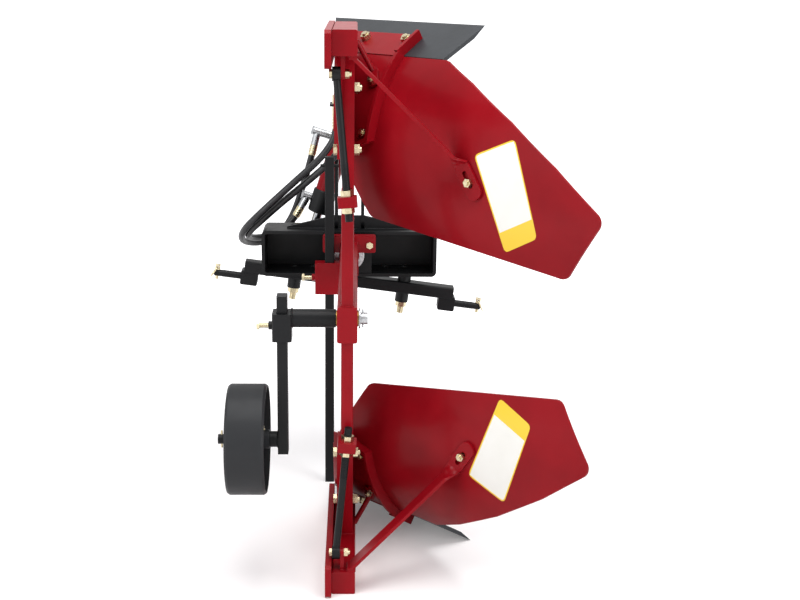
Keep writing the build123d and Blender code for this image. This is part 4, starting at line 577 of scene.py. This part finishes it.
@dataclass
class Studio:
    """Camera, lights, world and floor of the photograph's plain white set."""

    camera_place: tuple[float, float, float] = (0.021, -3.063, 1.544)
    heading: tuple[float, float] = (0.0349, 0.9994)
    pitch_deg: float = 14.3
    roll_deg: float = 0.77
    focal_px: float = 1300.0
    sensor_mm: float = 36.0
    floor_radius: float = 90.0
    floor_sides: int = 96
    white: str = "#FFFFFF"
    white_strength: float = 1.0
    fill: str = "#F6F8FF"
    fill_strength: float = 0.5
    lit_point: tuple[float, float, float] = (0.1, 0.4, 0.7)
    lamps: tuple[SoftBox, ...] = (
        SoftBox("overhead_box", (0.3, -0.2, 4.2), 3.2, 150.0),
        SoftBox("left_box", (-3.4, -2.4, 2.4), 2.2, 90.0),
        SoftBox("right_box", (3.2, -2.8, 1.6), 2.4, 70.0),
    )

    def view_matrix(self) -> Matrix:
        """Work out the camera's place and attitude, looking forward and down at the plough.

        Returns:
            The camera's matrix in the world.
        """
        pitch = math.radians(self.pitch_deg)
        roll = math.radians(self.roll_deg)
        ahead = Vector((*self.heading, 0.0)) * math.cos(pitch) - Vector((0, 0, math.sin(pitch)))
        level = Vector((self.heading[1], -self.heading[0], 0.0))
        raised = level.cross(ahead)
        right = level * math.cos(roll) + raised * math.sin(roll)
        up = raised * math.cos(roll) - level * math.sin(roll)
        turn = Matrix((right, up, -ahead)).transposed().to_4x4()
        return Matrix.Translation(self.camera_place) @ turn

    def ray(self, pixel: tuple[float, float]) -> tuple[Vector, Vector]:
        """Line of sight through one pixel of the photograph.

        Args:
            pixel: Column and row in the 800 by 600 frame.

        Returns:
            The camera's place and the direction of the line.
        """
        matrix = self.view_matrix()
        column = (pixel[0] - IMAGE_WIDTH / 2) / self.focal_px
        row = (IMAGE_HEIGHT / 2 - pixel[1]) / self.focal_px
        return matrix.translation, (matrix.to_3x3() @ Vector((column, row, -1.0))).normalized()

    def build_camera(self) -> None:
        """Add the camera and make it the scene's own."""
        data = bpy.data.cameras.new("photo_camera")
        data.sensor_width = self.sensor_mm
        data.lens = self.focal_px / IMAGE_WIDTH * self.sensor_mm
        data.clip_end = 2 * self.floor_radius
        camera = bpy.data.objects.new("photo_camera", data)
        camera.matrix_world = self.view_matrix()
        bpy.context.scene.collection.objects.link(camera)
        bpy.context.scene.camera = camera

    def build_floor(self) -> None:
        """Add the floor, wide enough to fill the view."""
        mesh = bpy.data.meshes.new("studio_floor")
        bm = bmesh.new()
        bmesh.ops.create_circle(bm, cap_ends=True, segments=self.floor_sides, radius=self.floor_radius)
        bm.to_mesh(mesh)
        bm.free()
        mesh.materials.append(StudioFloor().material())
        floor = bpy.data.objects.new("studio_floor", mesh)
        bpy.context.scene.collection.objects.link(floor)

    def build_world(self) -> None:
        """Light the set evenly, and show white to the camera and in reflections."""
        world = bpy.data.worlds.new("white_set")
        bpy.context.scene.world = world
        world.use_nodes = True
        tree = world.node_tree
        tree.nodes.clear()
        skies = []
        for colour, strength in ((self.fill, self.fill_strength), (self.white, self.white_strength)):
            sky = add_node(tree, "ShaderNodeBackground", {"Color": linear(colour), "Strength": strength})
            skies.append(sky.outputs["Background"])
        links = {0: background_rays(tree), 1: skies[0], 2: skies[1]}
        mix = add_node(tree, "ShaderNodeMixShader", links=links)
        output = add_node(tree, "ShaderNodeOutputWorld")
        tree.links.new(mix.outputs["Shader"], output.inputs["Surface"])

    def build_lamp(self, box: SoftBox) -> None:
        """Add one soft box that faces the plough.

        Args:
            box: Soft box to add.
        """
        data = bpy.data.lights.new(box.name, "AREA")
        data.size = box.size
        data.energy = box.power
        lamp = bpy.data.objects.new(box.name, data)
        place = Vector(box.place)
        turn = (Vector(self.lit_point) - place).to_track_quat("-Z", "Y").to_matrix().to_4x4()
        lamp.matrix_world = Matrix.Translation(place) @ turn
        bpy.context.scene.collection.objects.link(lamp)

    def build(self) -> None:
        """Set up the whole studio."""
        bpy.context.scene.view_settings.view_transform = "Standard"
        self.build_camera()
        self.build_floor()
        self.build_world()
        for box in self.lamps:
            self.build_lamp(box)


def from_axis(point: tuple[float, float, float]) -> Vector:
    """Place a point that is given from the turnover axis.

    Args:
        point: Millimetres to the right, forward of the rear post and above the axis.

    Returns:
        The same point in metres from the ground.
    """
    x, y, z = point
    return Vector((x * MM, y * MM, z * MM + AXIS_HEIGHT))


def finish_piece(
    name: str, bm: bmesh.types.BMesh, material: bpy.types.Material
) -> bpy.types.Object:
    """Turn a bmesh into a finished piece at the origin.

    Args:
        name: Name of the piece.
        bm: Its geometry, which is freed.
        material: Its finish.

    Returns:
        The new object, not yet riding on a body.
    """
    bmesh.ops.recalc_face_normals(bm, faces=bm.faces)
    for face in bm.faces:
        face.smooth = True
    mesh = bpy.data.meshes.new(name)
    bm.to_mesh(mesh)
    bm.free()
    mesh.materials.append(material)
    piece = bpy.data.objects.new(name, mesh)
    bpy.context.scene.collection.objects.link(piece)
    log.info("%s: %d faces", name, len(mesh.polygons))
    return piece


def sweep_ring(bm: bmesh.types.BMesh, path: list[Vector], radii: list[float], sides: int) -> None:
    """Sweep a ring along an open path and close both ends.

    Args:
        bm: Geometry that gets the tube.
        path: Points that the ring's middle follows.
        radii: Radius of the ring at each point.
        sides: Sides of the ring.
    """
    last = len(path) - 1
    ways = [(path[min(i + 1, last)] - path[max(i - 1, 0)]).normalized() for i in range(len(path))]
    turn = ways[0].to_track_quat("Z", "Y").to_matrix().to_4x4()
    start = Matrix.Translation(path[0]) @ turn
    verts = bmesh.ops.create_circle(bm, segments=sides, radius=radii[0], matrix=start)["verts"]
    edges = list({edge for vert in verts for edge in vert.link_edges})
    bmesh.ops.contextual_create(bm, geom=edges)
    for i in range(1, len(path)):
        grown = bmesh.ops.extrude_edge_only(bm, edges=edges)["geom"]
        verts = [item for item in grown if isinstance(item, bmesh.types.BMVert)]
        ring = set(verts)
        grown_edges = [item for item in grown if isinstance(item, bmesh.types.BMEdge)]
        edges = [edge for edge in grown_edges if ring.issuperset(edge.verts)]
        bend = ways[i - 1].rotation_difference(ways[i]).to_matrix()
        bmesh.ops.rotate(bm, verts=verts, cent=path[i - 1], matrix=bend)
        bmesh.ops.translate(bm, verts=verts, vec=path[i] - path[i - 1])
        size = Vector((1.0, 1.0, 1.0)) * (radii[i] / radii[i - 1])
        bmesh.ops.scale(bm, verts=verts, vec=size, space=Matrix.Translation(-path[i]))
    bmesh.ops.contextual_create(bm, geom=edges)


@dataclass(frozen=True)
class HoseRoute:
    """One hose: its node, its route from the union to the coupler and its length."""

    node: str
    points_mm: tuple[tuple[float, float, float], ...]
    length: float


@dataclass
class Hoses:
    """The two pressure hoses between the turnover cylinder and the couplers on the mast."""

    rubber: bpy.types.Material
    plating: bpy.types.Material
    diameter: float = 0.021
    sides: int = 20
    collar_length: float = 0.034
    collar_radius: float = 0.0128
    collar_grooves: int = 4
    groove_steps: int = 4
    groove_bottom: int = 2  # step of a groove that lies deepest
    groove: float = 0.93  # radius there, as a share of the collar's
    lip: float = 0.9  # radius at the collar's ends
    line_steps: int = 8  # points of the smooth line between two chosen ones
    fixed_y: float = 0.900  # a depth along Y in the headstock
    moving_y: float = 1.036  # a depth along Y at the cylinder's hose unions
    routes: tuple[HoseRoute, ...] = (
        HoseRoute(
            "hose_a",
            (
                (-112.613, 1039.282, 298.903),
                (-127, 1044, 240),
                (-152, 1062, 156),
                (-182, 1076, 66),
                (-226, 1078, 0),
                (-284, 1054, -22),
                (-328, 1002, -10),
                (-340, 934, 18),
                (-324, 872, 58),
                (-276, 838, 110),
                (-214, 836, 168),
                (-152, 842, 224),
                (-100, 848, 270),
                (-66, 850, 310),
                (-40, 850, 356),
                (-40, 850, 405.7),
            ),
            1.071,
        ),
        HoseRoute(
            "hose_b",
            (
                (-155.188, 1036.902, 99.148),
                (-180, 1038, 54),
                (-228, 1036, 18),
                (-280, 1012, 4),
                (-316, 962, 14),
                (-314, 902, 42),
                (-271, 865, 86),
                (-210, 856, 142),
                (-146, 858, 194),
                (-86, 852, 246),
                (-42, 850, 290),
                (-2, 850, 350),
                (-2, 850, 405.7),
            ),
            0.795,
        ),
    )

    def spline_points(self, route: HoseRoute) -> list[Vector]:
        """Read the points of the route's smooth line.

        Args:
            route: Hose whose line is wanted.

        Returns:
            Points along a NURBS spline whose control points are the route's.
        """
        curve = bpy.data.curves.new(f"{route.node}_line", "CURVE")
        curve.dimensions = "3D"
        spline = curve.splines.new("NURBS")
        spline.points.add(len(route.points_mm) - 1)
        for point, chosen in zip(spline.points, route.points_mm):
            point.co = (*from_axis(chosen), 1.0)
        spline.order_u = 3
        spline.use_endpoint_u = True
        spline.resolution_u = self.line_steps
        line = bpy.data.objects.new(f"{route.node}_line", curve)
        mesh = bpy.data.meshes.new_from_object(line)
        points = [vert.co.copy() for vert in mesh.vertices]
        bpy.data.objects.remove(line)
        bpy.data.meshes.remove(mesh)
        return points

    def build_collar(self, name: str, end: Vector, inward: Vector, body: Body) -> None:
        """Crimp a plated collar on one hose end.

        Args:
            name: Name of the collar.
            end: Middle of the hose's end.
            inward: Direction along the hose, away from that end.
            body: Body that carries the fitting.
        """
        count = self.groove_steps * self.collar_grooves
        step = self.collar_length / count
        path = [end + inward * step * i for i in range(count + 1)]
        radii = [self.collar_radius] * len(path)
        for i in range(self.groove_bottom, count, self.groove_steps):
            radii[i] = self.collar_radius * self.groove
        radii[0] = radii[-1] = self.collar_radius * self.lip
        bm = bmesh.new()
        sweep_ring(bm, path, radii, self.sides)
        collar = finish_piece(name, bm, self.plating)
        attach(collar, body.value)

    def build(self) -> None:
        """Build both hoses with their collars."""
        for route in self.routes:
            points = self.spline_points(route)
            bm = bmesh.new()
            sweep_ring(bm, points, [self.diameter / 2] * len(points), self.sides)
            hose = finish_piece(f"{route.node}_cover", bm, self.rubber)
            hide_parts(route.node)
            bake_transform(hose)
            first = (points[1] - points[0]).normalized()
            last = (points[-2] - points[-1]).normalized()
            self.build_collar(f"{route.node}_union_collar", points[0], first, Body.CYLINDER)
            self.build_collar(f"{route.node}_coupler_collar", points[-1], last, Body.HEADSTOCK)


@dataclass(frozen=True)
class Seam:
    """One weld: the corners of the line that it follows, in millimetres from the turnover axis."""

    corners: tuple[tuple[float, float, float], ...]
    closed: bool = False

    def mirrored(self) -> "Seam":
        """Mirror the weld in the level plane of the turnover axis.

        Returns:
            The same weld on the other plough body.
        """
        return Seam(tuple((x, y, -z) for x, y, z in self.corners), self.closed)

    def line(self, step: float) -> list[Vector]:
        """Mark points along the weld.

        Args:
            step: Distance between two points.

        Returns:
            The points, in metres.
        """
        corners = [from_axis(corner) for corner in self.corners]
        if self.closed:
            corners.append(corners[0])
        points = []
        for near, far in zip(corners, corners[1:]):
            count = max(2, round((far - near).length / step))
            points += [near.lerp(far, i / count) for i in range(count)]
        return points + [corners[-1]]


def level_seam(x0: float, x1: float, y0: float, y1: float, z: float) -> Seam:
    """Weld round the foot of an upright piece on a level face.

    Args:
        x0: Left side of the foot.
        x1: Right side.
        y0: Rear side.
        y1: Front side.
        z: Height of the face above the axis.

    Returns:
        The closed weld.
    """
    return Seam(((x0, y0, z), (x1, y0, z), (x1, y1, z), (x0, y1, z)), True)


def round_seam(middle: tuple[float, float, float], along_x: bool, radius: float) -> Seam:
    """Weld round a tube that runs along X, or else along Y.

    Args:
        middle: Middle of the weld.
        along_x: Whether the tube runs along X.
        radius: Radius of the tube.

    Returns:
        The closed weld.
    """
    x, y, z = middle
    turns = [math.tau * i / ROUND_SEAM_CORNERS for i in range(ROUND_SEAM_CORNERS)]
    if along_x:
        return Seam(tuple((x, y + radius * math.cos(a), z + radius * math.sin(a)) for a in turns), True)
    return Seam(tuple((x + radius * math.cos(a), y, z + radius * math.sin(a)) for a in turns), True)


@dataclass
class Welds:
    """Rippled weld beads along the joints of the welded steel, painted over with it."""

    finishes: dict[Slot, bpy.types.Material]
    radius: float = 0.0026
    ripple: float = 0.0034
    sides: int = 8
    valley: float = 0.84  # radius between two ripples, as a share of the bead's
    # Lower body: post and leg on the main beam, then leg, brace and rod lug on the sole beam
    body_seams: tuple[Seam, ...] = (
        level_seam(-15, 15, -15, 15, -45),
        level_seam(-15, 15, 25, 125, -45),
        level_seam(-15, 15, 192, 280, -644),
        level_seam(2, 21, -35, 15, -644),
        level_seam(-16.7, -6.7, -25, 1, -644),
    )
    # Main beam on the frame plate, and stand socket on the main beam
    frame_seams: tuple[Seam, ...] = (
        Seam(((-25, 745, -45), (25, 745, -45), (25, 745, 45), (-25, 745, 45)), True),
        Seam(((-25, 700, -45), (-25, 700, -9), (-25, 740, -9), (-25, 740, -45))),
    )
    # Mast plates, both halves of the rib, and the bearing tube at its two walls
    headstock_seams: tuple[Seam, ...] = (
        Seam(((-45, 848, 70), (-45, 925, 70))),
        Seam(((45, 848, 70), (45, 925, 70))),
        Seam(((-190, 835, 70), (-46, 835, 70))),
        Seam(((46, 835, 70), (190, 835, 70))),
        round_seam((0, 795, 0), False, 45),
        round_seam((0, 925, 0), False, 45),
    )
    carrier_seams: tuple[Seam, ...] = (round_seam((-137, 45, 0), True, 23),)
    arm_seams: tuple[Seam, ...] = (round_seam((-174, 45, -317), True, 20),)

    def build_group(self, name: str, seams: list[Seam], slot: Slot, body: Body) -> None:
        """Run the beads of one body as a single piece.

        Args:
            name: Name of the piece.
            seams: Welds of that body.
            slot: Paint that covers them.
            body: Body that carries them.
        """
        bm = bmesh.new()
        for seam in seams:
            path = seam.line(self.ripple / 2)
            radii = [self.radius * (self.valley if i % 2 else 1.0) for i in range(len(path))]
            sweep_ring(bm, path, radii, self.sides)
        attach(finish_piece(name, bm, self.finishes[slot]), body.value)

    def build(self) -> None:
        """Run every bead."""
        both = [*self.body_seams, *[seam.mirrored() for seam in self.body_seams]]
        self.build_group("frame_welds", [*both, *self.frame_seams], Slot.RED, Body.TURNOVER)
        self.build_group("headstock_welds", list(self.headstock_seams), Slot.BLACK, Body.HEADSTOCK)
        self.build_group("carrier_welds", list(self.carrier_seams), Slot.BLACK, Body.CARRIER)
        self.build_group("arm_welds", list(self.arm_seams), Slot.BLACK, Body.ARM)


@dataclass(frozen=True)
class ThreadSize:
    """Length, radius and pitch of one stretch of screw thread, in millimetres."""

    length: float
    radius: float
    pitch: float


@dataclass(frozen=True)
class Thread:
    """One visible stretch of screw thread, in millimetres from the turnover axis."""

    name: str
    start: tuple[float, float, float]
    way: tuple[float, float, float]
    size: ThreadSize
    slot: Slot
    body: Body


SCREW_THREAD = ThreadSize(21.0, 6.0, 1.75)  # set screws
SCREW_WAY = (-1.0, 0.0, 0.0)
BOLT_THREAD = ThreadSize(21.0, 10.0, 2.5)  # hitch bolts, which lean with the hitch bar
BOLT_WAY = (-0.12706, 0.0, -0.99189)


@dataclass
class Threads:
    """Thread ridges on the set screws, the adjusting rods and the hitch bolts."""

    finishes: dict[Slot, bpy.types.Material]
    steps: int = 18
    sides: int = 6
    ridge: float = 0.3  # radius of the ridge, in pitches
    run_out: float = 0.4  # the same at a thread's ends, as a share
    rod_radius: float = 9.0
    rod_pitch: float = 2.5
    rod_head: tuple[float, float, float] = (0.0, -31.0, -305.0)
    rod_eye: tuple[float, float, float] = (-27.0, -12.0, -602.0)
    rod_stretches: tuple[tuple[float, float], ...] = ((-46.0, -27.5), (27.5, 92.0))
    singles: tuple[Thread, ...] = (
        Thread("carrier_screw_thread", (-195.5, 45, -19), SCREW_WAY, SCREW_THREAD, Slot.ZINC, Body.CARRIER),
        Thread(
            "socket_screw_thread", (-111.5, 720, -56.5), SCREW_WAY, SCREW_THREAD, Slot.ZINC, Body.TURNOVER
        ),
        Thread(
            "left_hitch_thread", (-179.3, 955, -159.8), BOLT_WAY, BOLT_THREAD, Slot.ZINC, Body.HEADSTOCK
        ),
        Thread(
            "right_hitch_thread", (162.7, 955, -203.6), BOLT_WAY, BOLT_THREAD, Slot.ZINC, Body.HEADSTOCK
        ),
    )

    def rod_threads(self) -> list[Thread]:
        """List the threads of both adjusting rods, on either side of their jam nuts.

        Returns:
            Two threads for each rod.
        """
        threads = []
        for name, side in (("lower", 1.0), ("upper", -1.0)):
            head = Vector((self.rod_head[0], self.rod_head[1], self.rod_head[2] * side))
            eye = Vector((self.rod_eye[0], self.rod_eye[1], self.rod_eye[2] * side))
            way = (eye - head).normalized()
            for number, (near, far) in enumerate(self.rod_stretches):
                label = f"{name}_rod_thread_{number}"
                size = ThreadSize(far - near, self.rod_radius, self.rod_pitch)
                place = tuple(head + way * near)
                threads.append(Thread(label, place, tuple(way), size, Slot.BLACK, Body.TURNOVER))
        return threads

    def build_thread(self, thread: Thread) -> None:
        """Wind one ridge.

        Args:
            thread: Stretch to wind.
        """
        place = Vector(thread.start) * MM + Vector((0, 0, AXIS_HEIGHT))
        turn = Vector(thread.way).to_track_quat("Z", "Y").to_matrix()
        size = thread.size
        count = round(size.length / size.pitch * self.steps)
        path = []
        for i in range(count + 1):
            angle = math.tau * i / self.steps
            spot = Vector((math.cos(angle), math.sin(angle), 0.0)) * size.radius
            spot.z = size.pitch * i / self.steps
            path.append(place + turn @ spot * MM)
        bm = bmesh.new()
        radii = [size.pitch * self.ridge * MM] * len(path)
        radii[0] = radii[-1] = radii[0] * self.run_out
        sweep_ring(bm, path, radii, self.sides)
        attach(finish_piece(thread.name, bm, self.finishes[thread.slot]), thread.body.value)

    def build(self) -> None:
        """Wind every ridge."""
        for thread in (*self.singles, *self.rod_threads()):
            self.build_thread(thread)


@dataclass(frozen=True)
class NipplePlace:
    """Where one grease nipple stands, in millimetres from the turnover axis."""

    name: str
    foot: tuple[float, float, float]
    body: Body


@dataclass
class GreaseNipples:
    """Small turned grease nipples on the bearings."""

    plating: bpy.types.Material
    steps: int = 20
    # Radius and height of its collar, neck and round head
    profile_mm: tuple[tuple[float, float], ...] = (
        (0.0, -1.0),
        (5.0, -1.0),
        (5.0, 3.6),
        (4.4, 4.2),
        (2.6, 4.4),
        (2.6, 7.0),
        (3.3, 8.4),
        (3.3, 9.6),
        (2.2, 11.2),
        (1.0, 11.6),
        (0.0, 11.2),
    )
    places: tuple[NipplePlace, ...] = (
        NipplePlace("bearing_nipple", (0, 958, 45), Body.HEADSTOCK),
        NipplePlace("cylinder_eye_nipple", (0, 1036, 426), Body.CYLINDER),
        NipplePlace("wheel_hub_nipple", (-212, 45, -293), Body.WHEEL),
    )

    def build(self) -> None:
        """Turn every nipple."""
        for place in self.places:
            foot = from_axis(place.foot)
            bm = bmesh.new()
            outline = [foot + Vector((radius * MM, 0, rise * MM)) for radius, rise in self.profile_mm]
            verts = [bm.verts.new(point) for point in outline]
            edges = [bm.edges.new(pair) for pair in zip(verts, verts[1:])]
            bmesh.ops.spin(
                bm,
                geom=[*verts, *edges],
                cent=foot,
                axis=(0, 0, 1),
                angle=math.tau,
                steps=self.steps,
                use_merge=True,
                use_duplicate=False,
            )
            bmesh.ops.remove_doubles(bm, verts=bm.verts, dist=TINY)
            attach(finish_piece(place.name, bm, self.plating), place.body.value)


@dataclass(frozen=True)
class PanelPlace:
    """Where one blank panel lies: its mouldboard and its corners in the photograph."""

    name: str
    board: str
    corners_px: tuple[tuple[float, float], ...]


@dataclass
class BlankPanels:
    """Two pale vinyl panels on the backs of the mouldboards, with a plain yellow band and no print."""

    studio: Studio
    film: bpy.types.Material
    columns: int = 16
    rows: int = 36
    lift: float = 0.0003  # film off the paint
    corner: float = 0.1  # corner radius, as a share of the width
    reach: float = 3.2  # camera to the boards, for a line of sight that passes their edge
    places: tuple[PanelPlace, ...] = (
        PanelPlace("upper_panel", "upper_mouldboard", ((474, 155), (515, 139), (537, 239), (505, 253))),
        PanelPlace("lower_panel", "lower_mouldboard", ((504, 503), (468, 475), (500, 398), (531, 426))),
    )

    def round_corner(self, across: float, along: float, aspect: float) -> tuple[float, float]:
        """Draw a point of the unit panel in where the panel's corners are round.

        Args:
            across: Place across the panel, 0 to 1.
            along: Place along the panel, 0 to 1.
            aspect: Length of the panel over its width.

        Returns:
            The moved place.
        """
        reach = (self.corner, self.corner / aspect)
        inner = [min(max(v, r), 1 - r) for v, r in zip((across, along), reach)]
        out = [(v - i) / r for v, i, r in zip((across, along), inner, reach)]
        if abs(out[0]) < TINY or abs(out[1]) < TINY:
            return across, along
        shrink = max(abs(out[0]), abs(out[1])) / math.hypot(*out)
        return inner[0] + out[0] * shrink * reach[0], inner[1] + out[1] * shrink * reach[1]

    def find_spot(self, tree: BVHTree, eye: Vector, way: Vector) -> tuple[Vector, Vector]:
        """Find the point of a mouldboard that a line of sight meets.

        Args:
            tree: Surface of the mouldboard.
            eye: Place of the camera.
            way: Direction of the line of sight.

        Returns:
            The point and the surface's direction there, on the side that the camera sees. Where the line
            just misses the board, they belong to the nearest point.
        """
        spot, normal, _, _ = tree.ray_cast(eye, way)
        if spot is None:
            log.info("a line of sight passes the board's edge")
            spot, normal, _, _ = tree.find_nearest(eye + way * self.reach)
        return spot, normal if normal.dot(way) < 0 else -normal

    def build_panel(self, place: PanelPlace) -> None:
        """Lay one panel on its mouldboard.

        Args:
            place: Panel to build.
        """
        depsgraph = bpy.context.evaluated_depsgraph_get()
        tree = BVHTree.FromObject(frame["nodes"][place.board], depsgraph)
        hits = [self.find_spot(tree, *self.studio.ray(pixel))[0] for pixel in place.corners_px]
        eye = self.studio.view_matrix().translation
        width = (hits[1] - hits[0]).length
        length = (hits[3] - hits[0]).length
        bm = bmesh.new()
        bmesh.ops.create_grid(bm, x_segments=self.columns, y_segments=self.rows, size=HALF)
        uv_layer = bm.loops.layers.uv.new("panel_uv")
        for face in bm.faces:
            for loop in face.loops:
                loop[uv_layer].uv = (loop.vert.co.x + HALF, loop.vert.co.y + HALF)
        for vert in bm.verts:
            across, along = self.round_corner(vert.co.x + HALF, vert.co.y + HALF, length / width)
            near = hits[0].lerp(hits[1], across)
            far = hits[3].lerp(hits[2], across)
            spot, outward = self.find_spot(tree, eye, (near.lerp(far, along) - eye).normalized())
            vert.co = spot + outward * self.lift
        bmesh.ops.recalc_face_normals(bm, faces=bm.faces)
        piece = finish_piece(place.name, bm, self.film)
        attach(piece, Body.TURNOVER.value)

    def build(self) -> None:
        """Lay both panels."""
        for place in self.places:
            self.build_panel(place)


@dataclass
class Livery:
    """Finishes of the frame's own nodes, by the record's slots."""

    finishes: dict[Slot, bpy.types.Material] = field(default_factory=dict)

    def mix_finishes(self) -> None:
        """Make every finish once."""
        enamels = {
            Slot.RED: SprayedEnamel("red_enamel", "#8A0915", "#7E0712", "#A21722", 0.3, 0.07, 0.1),
            Slot.BLACK: SprayedEnamel(
                "black_satin_enamel", "#0D0E10", "#090A0B", "#1D1F22", 0.42, 0.03, 0.2
            ),
            Slot.WHEEL: SprayedEnamel(
                "grey_wheel_enamel", "#252628", "#1E1F21", "#3C3D40", 0.46, 0.03, 0.2
            ),
            Slot.SHARE: SprayedEnamel("dark_share_enamel", "#2A2D31", "#212427", "#4E5257", 0.4, 0.1, 0.3),
        }
        zinc = ((0.25, "#B3A683"), (0.45, "#D2C8A6"), (0.6, "#C2B292"), (0.8, "#E2DCC4"))
        steel = ((0.3, "#9A9C9E"), (0.7, "#BEC0C2"))
        chrome = ((0.3, "#C4C7CB"), (0.7, "#D6D8DC"))
        bronze = ((0.3, "#8C6A38"), (0.7, "#B08A50"))
        metals = {
            Slot.ZINC: PlainMetal("yellow_zinc_plate", zinc, (0.2, 0.36)),
            Slot.BRIGHT: PlainMetal("turned_steel", steel, (0.22, 0.38)),
            Slot.CHROME: PlainMetal("hard_chrome", chrome, (0.06, 0.12), bump=0.01),
            Slot.BRONZE: PlainMetal("bearing_bronze", bronze, (0.28, 0.42)),
        }
        palette = {**enamels, **metals, Slot.RUBBER: HoseRubber()}
        self.finishes = {slot: finish.material() for slot, finish in palette.items()}

    def dress(self) -> None:
        """Assign each node its finish."""
        for subpart in frame["record"]["subparts"]:
            slot = Slot(subpart["material_slot"])
            node = frame["nodes"][subpart["node"]]
            node.material_slots[0].material = self.finishes[slot]


def main() -> None:
    """Build the studio and dress the plough."""
    logging.basicConfig(level=logging.INFO, format="%(name)s %(message)s")
    studio = Studio()
    studio.build()
    livery = Livery()
    livery.mix_finishes()
    livery.dress()
    Hoses(livery.finishes[Slot.RUBBER], livery.finishes[Slot.ZINC]).build()
    Welds(livery.finishes).build()
    Threads(livery.finishes).build()
    GreaseNipples(livery.finishes[Slot.ZINC]).build()
    BlankPanels(studio, PanelVinyl().material()).build()


if __name__ == "__main__":
    main()
